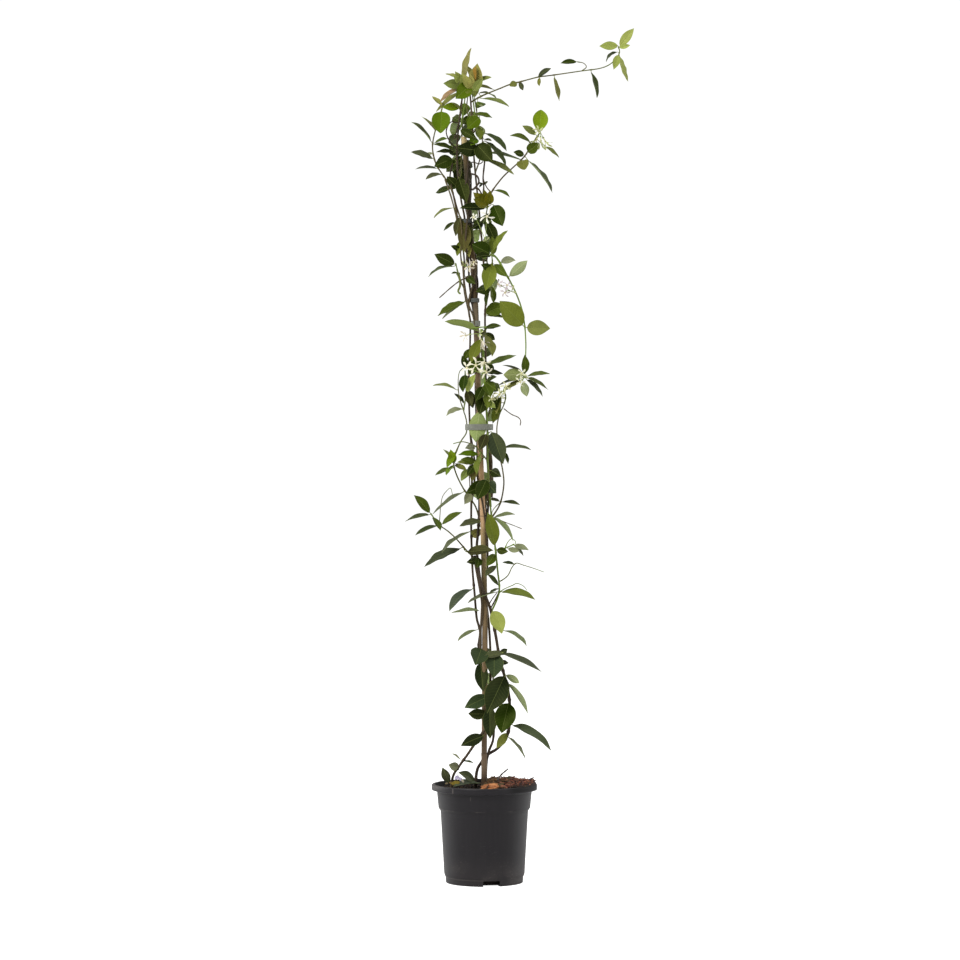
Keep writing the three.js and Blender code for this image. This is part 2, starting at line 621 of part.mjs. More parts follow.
// A closed skin through rings of points. The last ring may be one point. The diagonals alternate, so
// that the two faces of a blade are split alike.
function loft(rings) {
  const count = rings[0].length;
  const positions = rings.flat().flatMap((p) => [p.x, p.y, p.z]);
  const faces = [];
  const pointed = rings.at(-1).length === 1;
  const lastRing = rings.length - (pointed ? 2 : 1);
  for (let i = 0; i < lastRing; i++)
    for (let j = 0; j < count; j++) {
      const k = (j + 1) % count;
      const [a, b] = [i * count + j, i * count + k];
      const [c, d] = [b + count, a + count];
      if (j % 2) faces.push(a, b, d, b, c, d);
      else faces.push(a, b, c, a, c, d);
    }
  const end = lastRing * count;
  for (let j = 1; j + 1 < count; j++) faces.push(0, j + 1, j);
  if (pointed) for (let j = 0; j < count; j++) faces.push(end + j, end + ((j + 1) % count), end + count);
  else for (let j = 1; j + 1 < count; j++) faces.push(end, end + j, end + j + 1);
  const geometry = new THREE.BufferGeometry();
  geometry.setAttribute("position", new THREE.Float32BufferAttribute(positions, 3));
  geometry.setIndex(faces);
  return solidFrom(geometry);
}

// Points along a smooth route, about `step` apart.
function along(route, step) {
  const points = route.map(vector);
  const curve = new THREE.CatmullRomCurve3(points, false, "catmullrom", 0.5);
  const samples = [];
  points.slice(1).forEach((point, i) => {
    const cuts = Math.ceil(point.distanceTo(points[i]) / step);
    for (let j = 0; j < cuts; j++) samples.push(curve.getPoint((i + j / cuts) / (points.length - 1)));
  });
  return [...samples, points.at(-1)];
}

// A round rod along a line of points, tapering from one radius to the other.
function rod(points, rootRadius, tipRadius, sides, spare = 0) {
  let across = new THREE.Vector3(1, 0.2, 0);
  const rings = points.map((point, i) => {
    const before = points[Math.max(i - 1, 0)];
    const after = points[Math.min(i + 1, points.length - 1)];
    const ahead = after.clone().sub(before).normalize();
    across = across.clone().addScaledVector(ahead, -across.dot(ahead)).normalize();
    const side = ahead.clone().cross(across);
    const radius = THREE.MathUtils.lerp(rootRadius, tipRadius, i / (points.length - 1)) + spare;
    return Array.from({ length: sides }, (_, j) => {
      const angle = (2 * Math.PI * j) / sides;
      return point.clone()
        .addScaledVector(across, radius * Math.cos(angle))
        .addScaledVector(side, radius * Math.sin(angle));
    });
  });
  return loft(rings);
}

function twigPoints([rootRadius, , route]) {
  return along(route, rootRadius > STEM_LEAST_RADIUS ? STEM_STEP : TWIG_STEP);
}

function twigRod(twig, spare = 0) {
  const [rootRadius, tipRadius] = twig;
  return rod(twigPoints(twig), rootRadius, tipRadius, TWIG_SIDES, spare);
}

// A thin blade from a sunk root to its tip: a lens section, raised towards the upper side at both edges.
const LEAF_STATIONS = [[0.22, 0.78], [0.5, 1], [0.8, 0.58]];
const SMALL_LEAF_STATIONS = [[0.3, 0.94], [0.7, 0.78]];
const SMALL_LEAF = 64;

function bladeRings({ root, base, tip, width, turn, bow, curl, fold, thickness, stations }, spare) {
  const reach = base.distanceTo(tip);
  const axis = tip.clone().sub(base).normalize();
  const front = new THREE.Vector3(0, -1, 0).addScaledVector(axis, axis.y).normalize();
  const rise = axis.clone().cross(front);
  if (rise.z < 0) rise.negate();
  const upper = front.clone().multiplyScalar(Math.cos(turn)).addScaledVector(rise, Math.sin(turn));
  const side = axis.clone().cross(upper);
  const lens = (centre, half, thick, raised, direction) => {
    const turned = new THREE.Quaternion().setFromUnitVectors(axis, direction);
    const [s, u] = [side.clone().applyQuaternion(turned), upper.clone().applyQuaternion(turned)];
    const edge = (sign) =>
      centre.clone().addScaledVector(s, sign * (half + spare)).addScaledVector(u, raised);
    return [edge(1), centre.clone().addScaledVector(u, thick / 2 + spare), edge(-1),
      centre.clone().addScaledVector(u, -thick / 2 - spare)];
  };
  const rings = [];
  const stalk = base.clone().sub(root).normalize();
  rings.push(lens(root, PETIOLE_ROOT, 2 * PETIOLE_ROOT, 0, stalk));
  if (root.distanceTo(base) > LONG_PETIOLE)
    rings.push(lens(base, PETIOLE_HALF_WIDTH, thickness, 0, stalk.clone().add(axis).normalize()));
  stations.forEach(([at, share]) => {
    const arch = 4 * at * (1 - at) * reach;
    const centre = base.clone().addScaledVector(axis, at * reach)
      .addScaledVector(rise, bow * arch).addScaledVector(upper, curl * arch);
    const half = (width / 2) * share;
    rings.push(lens(centre, half, thickness * (1 - LEAF_THINNING * at), half * fold, axis));
  });
  rings.push([tip.clone().addScaledVector(axis, spare)]);
  return rings;
}

// Where a leaf grows from: of the quarter points of the twigs' straight pieces, the one that lies
// nearest to (x, z) from the front.
function nearestOnTwigs(twigs, x, z) {
  const away = (p) => Math.hypot(p.x - x, p.z - z);
  const roots = twigs.flatMap((twig) => {
    const points = twigPoints(twig);
    return points.slice(1, -1)
      .flatMap((p, i) => [0.25, 0.5, 0.75].map((t) => p.clone().lerp(points[i + 2], t)));
  });
  return roots.reduce((best, p) => (away(p) < away(best) ? p : best));
}

function leafBlade(twigs, [baseX, baseZ, tipX, tipZ, lean, shown, bow = 0], shift) {
  const root = nearestOnTwigs(twigs, baseX, baseZ);
  const tip = new THREE.Vector3(tipX, root.y + lean + shift, tipZ);
  const stalk = Math.hypot(baseX - root.x, baseZ - root.z);
  const share = stalk / (stalk + Math.hypot(tipX - baseX, tipZ - baseZ));
  const base = share > PETIOLE_SHARE
    ? new THREE.Vector3(baseX, root.y + (lean + shift) * share, baseZ)
    : root.clone().lerp(tip, PETIOLE_SHARE);
  const reach = base.distanceTo(tip);
  const width = Math.max(Math.abs(shown), LEAF_ASPECT * reach);
  const tilt = Math.acos(Math.abs(shown) / width);
  return {
    root, base, tip, width, bow,
    turn: shown < 0 ? Math.PI - tilt : tilt,
    curl: LEAF_CURL,
    fold: LEAF_FOLD,
    thickness: LEAF_THICKNESS,
    stations: reach > SMALL_LEAF ? LEAF_STATIONS : SMALL_LEAF_STATIONS,
  };
}

// ---------------------------------------------------------------- what is already in place
// Each leaf is set clear of what stands there before it, by leaning further back or forward.
const placed = [];
function place(name, solid) {
  placed.push({ name, solid, box: solid.boundingBox() });
}

function apart(a, b) {
  return [0, 1, 2].some((i) => a.max[i] < b.min[i] || b.max[i] < a.min[i]);
}

function clash(solid, except) {
  const box = solid.boundingBox();
  return placed
    .filter((other) => other.name !== except && !apart(other.box, box))
    .reduce((sum, other) => sum + solid.intersect(other.solid).volume(), 0);
}

const SHIFTS = [0, -7, 7, -14, 14, -21, 21, -28, 28, -36, 36, -44, 44];
const CLEARANCE = 0.4;
function settledLeaf(name, twigs, leaf) {
  let best = null;
  for (const shift of SHIFTS) {
    const blade = leafBlade(twigs, leaf, shift);
    const spread = bladeRings(blade, CLEARANCE);
    const hit = clash(loft(spread), name) + clash(loft(spread.slice(-blade.stations.length - 1)), null);
    if (!best || hit < best.hit) best = { hit, blade };
    if (hit === 0) break;
  }
  const solid = loft(bladeRings(best.blade, 0));
  place(name, solid);
  return solid;
}

// ---------------------------------------------------------------- pot, soil and mulch
const POT_OUTSIDE = [
  [0, 0], [FOOT_RADIUS, 0], [FOOT_RADIUS + 0.6, FOOT_HEIGHT],
  [FOOT_RADIUS + 2.8, FOOT_HEIGHT + 4.5], [BODY_RADIUS, BODY_TOP_HEIGHT],
  [BAND_FOOT_RADIUS, BAND_FOOT_HEIGHT], [BAND_RADIUS, POT_HEIGHT - LIP_DEPTH - 2],
  [RIM_RADIUS, POT_HEIGHT - LIP_DEPTH], [RIM_RADIUS, POT_HEIGHT - 1.4], [RIM_RADIUS - 1.4, POT_HEIGHT],
];
const POT_INSIDE = [
  [79.2, POT_HEIGHT], [BAND_RADIUS - WALL, POT_HEIGHT - LIP_DEPTH - 2],
  [BAND_FOOT_RADIUS - WALL, BAND_FOOT_HEIGHT], [BODY_RADIUS - WALL, BODY_TOP_HEIGHT],
  [FOOT_RADIUS + 0.6 - WALL, FOOT_HEIGHT], [FOOT_RADIUS - WALL, FLOOR], [0, FLOOR],
];
const POT_SEGMENTS = 28;

function turned(profile) {
  return solidFrom(new THREE.LatheGeometry(
    profile.map(([r, z]) => new THREE.Vector2(r, z)), POT_SEGMENTS).rotateX(Math.PI / 2));
}

function drainCutter(angle) {
  const box = new THREE.BoxGeometry(DRAIN_WIDTH, DRAIN_DEPTH, 2 * DRAIN_HEIGHT);
  box.translate(0, -FOOT_RADIUS, 0).rotateZ(angle);
  return solidFrom(box);
}

function nurseryPot() {
  let pot = turned([...POT_OUTSIDE, ...POT_INSIDE]);
  for (let i = 0; i < DRAINS; i++)
    pot = pot.subtract(drainCutter(THREE.MathUtils.degToRad(DRAIN_TURN + (i * 360) / DRAINS)));
  return pot;
}

// How far loose ground stands above or below its level at (x, y).
const lumps = (x, y) =>
  Math.sin(0.21 * x + 1.3) * Math.cos(0.17 * y - 0.4) + 0.6 * Math.sin(0.31 * (x + y));

function pottingSoil() {
  const side = POT_INSIDE.filter(([, z]) => z > FOOT_HEIGHT && z < POT_HEIGHT - LIP_DEPTH)
    .map(([r, z]) => [r - GAP, z]).reverse();
  const rings = [[FOOT_RADIUS - WALL - GAP, FLOOR + GAP], ...side, [SOIL_RADIUS, SOIL_LEVEL]];
  const inner = [50, 24].map((r) => [r, SOIL_LEVEL]);
  const circle = ([r, z], lumpy) => Array.from({ length: POT_SEGMENTS }, (_, j) => {
    const angle = (2 * Math.PI * j) / POT_SEGMENTS;
    const [x, y] = [r * Math.cos(angle), r * Math.sin(angle)];
    return new THREE.Vector3(x, y, z + (lumpy ? lumps(x, y) : 0));
  });
  return loft([
    ...rings.map((ring) => circle(ring, false)),
    ...inner.map((ring) => circle(ring, true)),
    [new THREE.Vector3(0, 0, SOIL_LEVEL)],
  ]);
}

function mulchHeight(x, y) {
  const climb = THREE.MathUtils.smoothstep(x, HEAP_CENTRE[0] - HEAP_LEFT - 2, HEAP_CENTRE[0]);
  const away = Math.hypot(x - HEAP_CENTRE[0] + 6, y);
  const heap = HEAP_LOW + HEAP_RISE * climb - HEAP_FALL * away + 0.9 * lumps(x, y);
  const { centre, radius, level, slope } = CHIP_SEAT;
  const beyond = Math.max(0, Math.hypot(x - centre[0], y - centre[1]) - radius);
  return Math.min(heap, level + slope * beyond);
}

function barkMulch() {
  const { lerp, smoothstep } = THREE.MathUtils;
  const [cx, cy] = HEAP_CENTRE;
  const rays = 24;
  const reach = (angle, radius) => {
    const [dx, dy] = [Math.cos(angle), Math.sin(angle)];
    const inwards = cx * dx + cy * dy;
    const out = Math.sqrt(radius ** 2 - cx ** 2 - cy ** 2 + inwards ** 2) - inwards;
    return dx < 0 ? Math.min(out, HEAP_LEFT / -dx) : out;
  };
  const ring = (insideRadius, lipRadius, share, level) => Array.from({ length: rays }, (_, j) => {
    const angle = (2 * Math.PI * j) / rays;
    const raised = smoothstep(Math.cos(angle), 0, 0.3);
    const spread = smoothstep(Math.cos(angle), 0.3, 0.6);
    const out = reach(angle, lerp(insideRadius, lipRadius, spread)) * share;
    const [x, y] = [cx + out * Math.cos(angle), cy + out * Math.sin(angle)];
    return new THREE.Vector3(x, y, level(mulchHeight(x, y), raised));
  });
  const inside = BAND_RADIUS - 0.2;
  const overLip = POT_HEIGHT + GAP + 0.1;
  return loft([
    ring(inside, inside, 0.997, () => MULCH_BASE),
    ring(inside, 78.6, 0.998, (z, raised) => lerp(MULCH_BASE + 0.5, overLip, raised)),
    ring(inside, RIM_RADIUS - 1.2, 0.999, (z, raised) => lerp(MULCH_BASE + 0.8, overLip + 0.1, raised)),
    ring(inside, RIM_RADIUS - 0.8, 1, (z, raised) => lerp(MULCH_BASE + 1.2, overLip + 2.6, raised)),
    ...[0.93, 0.62, 0.3].map((share) => ring(inside, HEAP_OVERHANG_RADIUS, share, (z) => z)),
    [new THREE.Vector3(cx, cy, mulchHeight(cx, cy))],
  ]);
}

// A flat flake of bark with chipped corners.
const CHIP_OUTLINE = [
  [-0.5, -0.3], [-0.3, -0.5], [0.35, -0.42], [0.5, -0.1], [0.42, 0.4], [0, 0.5], [-0.45, 0.32],
];
function barkChip() {
  const [length, breadth, thick] = CHIP_SIZE;
  const [x, y] = CHIP_SEAT.centre;
  const shape = new THREE.Shape(CHIP_OUTLINE.map(([u, v]) => new THREE.Vector2(u * length, v * breadth)));
  const flake = new THREE.ExtrudeGeometry(shape, { depth: thick, bevelEnabled: false });
  return solidFrom(flake.rotateZ(CHIP_TURN).translate(x, y, POT_HEIGHT + GAP));
}

// ---------------------------------------------------------------- cane and ties
const CANE_LINE = [
  [-0.7, 0, CANE_FOOT], [-0.7, 0, 160], [0.5, 0, 300], [1, 0, 420], [-1.9, 0, 570], [-6.5, 0, 690],
  [-14, 0, 920], [-19, 0, 1000], [-25, 0, 1080], [-29, 0, 1150], [-33, 0, 1192],
];
const CANE_NODES = [205, 330, 452, 584, 708, 838, 962, 1076];
const CANE_SIDES = 8;

function caneAt(z) {
  const i = Math.max(1, CANE_LINE.findIndex((p) => p[2] >= z));
  const [a, b] = [CANE_LINE[i - 1], CANE_LINE[i]];
  return THREE.MathUtils.mapLinear(z, a[2], b[2], a[0], b[0]);
}

function caneRings(spare) {
  const stations = CANE_LINE.map(([x, , z]) => [x, z, CANE_RADIUS]);
  CANE_NODES.forEach((z) => {
    stations.push([caneAt(z), z, CANE_RADIUS + 0.5], [caneAt(z + 4), z + 4, CANE_RADIUS]);
  });
  stations.sort((a, b) => a[1] - b[1]);
  return loft(stations.map(([x, z, radius]) => Array.from({ length: CANE_SIDES }, (_, j) => {
    const angle = (2 * Math.PI * j) / CANE_SIDES;
    return new THREE.Vector3(x + (radius + spare) * Math.cos(angle), (radius + spare) * Math.sin(angle), z);
  })));
}

// A flat strap bent into an oval round the cane and the stems beside it.
const TIES = [
  { name: "tie_broad", look: TIE_GREY, centre: [-8.4, -1], inner: [21.6, 15.7], z: 722.5, height: 10 },
  { name: "tie_grey", look: TIE_GREY, centre: [-13.6, 3], inner: [6.2, 8.7], z: 889, height: 9 },
  { name: "tie_dark_low", look: TIE_DARK, centre: [-17, 1.6], inner: [8.2, 7.6], z: 927, height: 7 },
  { name: "tie_dark_high", look: TIE_DARK, centre: [-26.5, 2.4], inner: [9.7, 9.2], z: 1054, height: 7 },
];
const TIE_THICKNESS = 0.9;

function strap({ centre: [x, y], inner: [a, b], z, height }) {
  const outline = (spare) => new THREE.Shape().absellipse(x, y, a + spare, b + spare, 0, 2 * Math.PI);
  const shape = outline(TIE_THICKNESS);
  shape.holes.push(outline(0));
  const band = new THREE.ExtrudeGeometry(shape, { depth: height, bevelEnabled: false, curveSegments: 6 });
  return solidFrom(band.translate(0, 0, z));
}

// ---------------------------------------------------------------- flowers
function bloomSolid({ root, fork, flowers }) {
  const parts = [rod([root, fork].map(vector), FLOWER_STALK_RADIUS, FLOWER_STALK_RADIUS, 3)];
  flowers.forEach(([x, y, z, facing, petalLength]) => {
    const eye = new THREE.Vector3(x, y, z);
    const aim = vector(facing).normalize();
    const neck = eye.clone().addScaledVector(aim, -FLOWER_TUBE);
    const throat = eye.clone().addScaledVector(aim, PETAL_THICKNESS / 2);
    parts.push(rod([vector(fork), neck, throat], FLOWER_STALK_RADIUS, FLOWER_THROAT_RADIUS, 3));
    parts.push(corolla(eye, aim, petalLength));
  });
  return wasm.Manifold.union(parts);
}

// Five petals set like a pinwheel in one thin star. Each petal is narrow where it leaves the eye, and its
// far end is cut off on a slant.
const PETAL_OUTLINE = [[0.2, -36], [0.96, -14], [0.92, 18]];
function corolla(eye, aim, petalLength) {
  const outline = Array.from({ length: 5 }, (_, i) => PETAL_OUTLINE.map(([share, degrees]) => {
    const angle = THREE.MathUtils.degToRad(72 * i + degrees);
    return new THREE.Vector2(Math.cos(angle), Math.sin(angle)).multiplyScalar(share * petalLength);
  })).flat();
  const flat = { depth: PETAL_THICKNESS, bevelEnabled: false };
  const star = new THREE.ExtrudeGeometry(new THREE.Shape(outline), flat);
  const turn = new THREE.Quaternion().setFromUnitVectors(new THREE.Vector3(0, 0, 1), aim);
  return solidFrom(star.applyQuaternion(turn).translate(eye.x, eye.y, eye.z));
}

// ---------------------------------------------------------------- assembly
const plant = new THREE.Group();
function add(name, solid, look) {
  const mesh = new THREE.Mesh(geometryFrom(solid), new THREE.MeshStandardMaterial(look));
  mesh.name = name;
  plant.add(mesh);
}

const grownRod = (shoot) => wasm.Manifold.union(shoot.twigs.map((twig) => twigRod(twig, GAP)));
const shootNamed = (name) => SHOOTS.find((shoot) => shoot.name === name);

const pot = nurseryPot();
const cane = caneRings(0);
const buried = SHOOTS.slice(0, 3).map(grownRod).concat(caneRings(GAP));
const soil = buried.reduce((ground, rodInHole) => ground.subtract(rodInHole), pottingSoil());
const dryTwigRod = (spare) => rod(DRY_TWIG_ROUTE.map(vector), ...DRY_TWIG_RADII, TWIG_SIDES, spare);
const mulch = [...buried, dryTwigRod(GAP)]
  .reduce((ground, rodInHole) => ground.subtract(rodInHole), barkMulch());
const ties = TIES.map((tie) => [tie, strap(tie)]);
const chip = barkChip();
const dryTwig = dryTwigRod(0);

[["nursery_pot", pot], ["potting_soil", soil], ["bark_mulch", mulch], ["bark_chip", chip],
  ["dry_twig", dryTwig], ["bamboo_cane", cane]]
  .forEach(([name, solid]) => place(name, solid));
ties.forEach(([tie, solid]) => place(tie.name, solid));

const rods = SHOOTS.map((shoot) => {
  let solid = wasm.Manifold.union(shoot.twigs.map((twig) => twigRod(twig)));
  if (shoot.from) solid = largest(solid.subtract(grownRod(shootNamed(shoot.from))));
  place(shoot.name, solid);
  return solid;
});
const blooms = BLOOMS.map((bloom) => {
  const solid = largest(bloomSolid(bloom).subtract(grownRod(shootNamed(bloom.from))));
  place(bloom.name, solid);
  return solid;
});

add("nursery_pot", pot, POT_PLASTIC);
add("potting_soil", soil, PEAT);
add("bark_mulch", largest(mulch), MULCH);
add("bark_chip", chip, ORANGE_BARK);
add("dry_twig", dryTwig, DRY_TWIG);
add("bamboo_cane", cane, BAMBOO);
ties.forEach(([tie, solid]) => add(tie.name, solid, tie.look));
SHOOTS.forEach((shoot, i) => {
  const leaves = shoot.leaves.map((leaf) => settledLeaf(shoot.name, shoot.twigs, leaf));
  add(shoot.name, wasm.Manifold.union([rods[i], ...leaves]), shoot.look);
});
BLOOMS.forEach((bloom, i) => add(bloom.name, blooms[i], PETAL_WHITE));

export default plant;
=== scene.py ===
import math
import random

import bpy
from mathutils import Matrix, Quaternion, Vector, noise
from mathutils.kdtree import KDTree


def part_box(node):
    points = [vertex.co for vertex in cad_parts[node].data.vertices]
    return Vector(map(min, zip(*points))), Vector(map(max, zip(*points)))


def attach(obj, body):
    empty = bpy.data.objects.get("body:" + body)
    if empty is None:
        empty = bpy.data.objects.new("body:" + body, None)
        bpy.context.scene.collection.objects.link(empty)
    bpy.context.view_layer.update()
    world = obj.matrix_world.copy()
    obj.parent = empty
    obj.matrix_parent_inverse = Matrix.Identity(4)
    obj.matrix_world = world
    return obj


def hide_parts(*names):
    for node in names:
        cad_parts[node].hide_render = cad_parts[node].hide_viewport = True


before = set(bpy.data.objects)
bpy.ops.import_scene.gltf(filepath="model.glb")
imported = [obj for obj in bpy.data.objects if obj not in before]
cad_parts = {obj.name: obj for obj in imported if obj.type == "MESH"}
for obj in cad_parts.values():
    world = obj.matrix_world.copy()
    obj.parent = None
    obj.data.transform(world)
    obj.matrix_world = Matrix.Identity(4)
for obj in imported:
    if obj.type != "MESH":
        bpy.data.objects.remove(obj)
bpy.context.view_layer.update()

# ---------------------------------------------------------------------------------- nursery pot
# A grower's pot of black polypropylene, moulded in one piece: a rolled lip, a stacking band under it, a
# tapering body and a foot with four drain notches. Handling and potting have left it dull and scuffed.
# Sizes are in millimetres; a mesh is made in metres.
MM = 0.001
POT_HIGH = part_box("nursery_pot")[1]
POT_HEIGHT = POT_HIGH.z / MM
RIM_RADIUS = POT_HIGH.x / MM
LIP_DEPTH = 9
BAND_RADIUS = 76
BAND_FOOT_RADIUS = 73.5
BAND_FOOT_HEIGHT = 119.5
BODY_RADIUS = 70.2
BODY_TOP_HEIGHT = 114.6
FOOT_RADIUS = 61.6
FOOT_HEIGHT = 9.5
WALL = 1.6
FLOOR = 2.6
LIP_INSIDE_RADIUS = 79.2
POT_SIDES = 144
POT_CREASE = 28
DRAIN_WIDTH = 27
DRAIN_HEIGHT = 9
DRAIN_DEPTH = 40
DRAIN_CORNER = 2.2
# Where each drain notch stands round the foot, in degrees from the front.
DRAIN_TURNS = [10.7, 100.7, 190.7, 255]

# The corners of the pot's section, outside and then inside: radius, height, and how far each is rounded.
POT_SECTION = [
    (FOOT_RADIUS, 0, 0.8),
    (FOOT_RADIUS + 0.6, FOOT_HEIGHT, 0.3),
    (FOOT_RADIUS + 1.1, FOOT_HEIGHT + 0.4, 0.2),
    (FOOT_RADIUS + 2.8, FOOT_HEIGHT + 4.5, 2.5),
    (BODY_RADIUS, BODY_TOP_HEIGHT, 1.2),
    (BAND_FOOT_RADIUS, BAND_FOOT_HEIGHT, 1.2),
    (BAND_RADIUS, POT_HEIGHT - LIP_DEPTH - 2, 2),
    (RIM_RADIUS - 0.3, POT_HEIGHT - LIP_DEPTH, 0.6),
    (RIM_RADIUS, POT_HEIGHT - 1.2, 1.2),
    (RIM_RADIUS - 1.4, POT_HEIGHT, 0.9),
    (LIP_INSIDE_RADIUS, POT_HEIGHT, 1.2),
    (BAND_RADIUS - WALL, POT_HEIGHT - LIP_DEPTH - 2, 1.5),
    (BAND_FOOT_RADIUS - WALL, BAND_FOOT_HEIGHT, 1.5),
    (BODY_RADIUS - WALL, BODY_TOP_HEIGHT, 1.5),
    (FOOT_RADIUS + 0.6 - WALL, FOOT_HEIGHT, 2),
    (FOOT_RADIUS - WALL, FLOOR, 1),
]


def mixed(a, b, share):
    """The number or vector that lies a share of the way from a to b."""
    return a + (b - a) * share


def eased(value, low, high):
    """0 below low, 1 above high, and a smooth climb between them."""
    share = min(1.0, max(0.0, (value - low) / (high - low)))
    return share * share * (3 - 2 * share)


def tone(code, strength=1.0):
    """A colour from its six-digit screen code, as the light that a surface returns."""
    channels = [int(code[i:i + 2], 16) / 255 for i in (1, 3, 5)]
    linear = [c / 12.92 if c <= 0.04045 else ((c + 0.055) / 1.055) ** 2.4 for c in channels]
    return (*(strength * c for c in linear), 1.0)


def rounded(corners, steps=4):
    """An outline through corners (x, y, rounding). Its ends stay sharp, and each corner between them is cut
    back by its rounding and bridged by a bend."""
    points = [Vector(corner[:2]) for corner in corners]
    outline = [points[0]]
    for before, here, after, (*_, rounding) in zip(points, points[1:], points[2:], corners[1:]):
        start = here + (before - here).normalized() * min(rounding, (before - here).length / 2.1)
        end = here + (after - here).normalized() * min(rounding, (after - here).length / 2.1)
        for step in range(steps + 1):
            share = step / steps
            outline.append(mixed(mixed(start, here, share), mixed(here, end, share), share))
    return [*outline, points[-1]]


def circle(radius, height, sides):
    """A level ring of points round the pot's axis."""
    angles = [2 * math.pi * i / sides for i in range(sides)]
    return [Vector((radius * math.cos(a), radius * math.sin(a), height)) for a in angles]


class Shape:
    """A mesh in the making: closed skins, the finish that each wears, and marks for the finishes to read."""

    def __init__(self):
        self.points = []
        self.faces = []
        self.looks = []
        self.marks = {}

    def skin(self, rings, look=0, loop=False, **marks):
        """Joins rings, each turning right-handed round the way ahead. Both ends are closed, or joined to each
        other in a loop. A mark is one value for the whole skin or a list with a value for each point."""
        began = len(self.points)
        starts = []
        for ring in rings:
            starts.append(len(self.points))
            self.points.extend(ring)
        if loop:
            starts.append(began)
            rings = [*rings, rings[0]]
        sides = max(len(ring) for ring in rings)
        faces = []
        for a, b, near, far in zip(starts, starts[1:], rings, rings[1:]):
            for j in range(sides):
                k = (j + 1) % sides
                if len(near) == 1:
                    faces.append((a, b + k, b + j))
                elif len(far) == 1:
                    faces.append((a + j, a + k, b))
                else:
                    faces.append((a + j, a + k, b + k, b + j))
        if len(rings[0]) > 1 and not loop:
            faces.append(tuple(starts[0] + j for j in reversed(range(sides))))
        if len(rings[-1]) > 1 and not loop:
            faces.append(tuple(starts[-1] + j for j in range(sides)))
        self.faces.extend(faces)
        self.looks.extend([look] * len(faces))
        for name, value in marks.items():
            kept = self.marks.setdefault(name, {})
            kept[began] = value if isinstance(value, list) else [value] * (len(self.points) - began)

    def made(self, name, *finishes, crease=40):
        """The finished object. Edges that turn more than `crease` degrees stay crisp."""
        mesh = bpy.data.meshes.new(name)
        mesh.from_pydata([point * MM for point in self.points], [], self.faces)
        for finish in finishes:
            mesh.materials.append(finish.material)
        mesh.polygons.foreach_set("material_index", self.looks)
        for mark, kept in self.marks.items():
            coloured = mark == "tint"
            values = [(0.5, 0.5, 0.5, 1.0) if coloured else 0.0] * len(self.points)
            for began, some in kept.items():
                values[began:began + len(some)] = some
            layer = mesh.attributes.new(mark, "FLOAT_COLOR" if coloured else "FLOAT", "POINT")
            flat = [part for value in values for part in value] if coloured else values
            layer.data.foreach_set("color" if coloured else "value", flat)
        mesh.shade_smooth()
        mesh.set_sharp_from_angle(angle=math.radians(crease))
        mesh.update()
        made = bpy.data.objects.new(name, mesh)
        bpy.context.scene.collection.objects.link(made)
        return made


class Wire:
    """A number that changes over a surface. Arithmetic on it adds Math nodes to its finish."""

    def __init__(self, finish, socket):
        self.finish = finish
        self.socket = socket

    def maths(self, operation, *values):
        """A Math node over the values."""
        return self.finish.node("ShaderNodeMath", {"operation": operation}, dict(enumerate(values)))

    def __add__(self, other):
        return self.maths("ADD", self, other)

    def __sub__(self, other):
        return self.maths("SUBTRACT", self, other)

    def __rsub__(self, other):
        return self.maths("SUBTRACT", other, self)

    def __mul__(self, other):
        return self.maths("MULTIPLY", self, other)

    def __abs__(self):
        return self.maths("ABSOLUTE", self)

    __radd__ = __add__
    __rmul__ = __mul__

    def between(self, low, high):
        """0 where the number is at `low` or beyond it, 1 at `high` or beyond it, and smooth between."""
        reach = {"Value": self, "From Min": low, "From Max": high}
        return self.finish.node("ShaderNodeMapRange", {"interpolation_type": "SMOOTHSTEP"}, reach)

    def band(self, low, full, fading, high):
        """1 where the number is between `full` and `fading`, and 0 below `low` and above `high`."""
        return self.between(low, full) * (1 - self.between(fading, high))


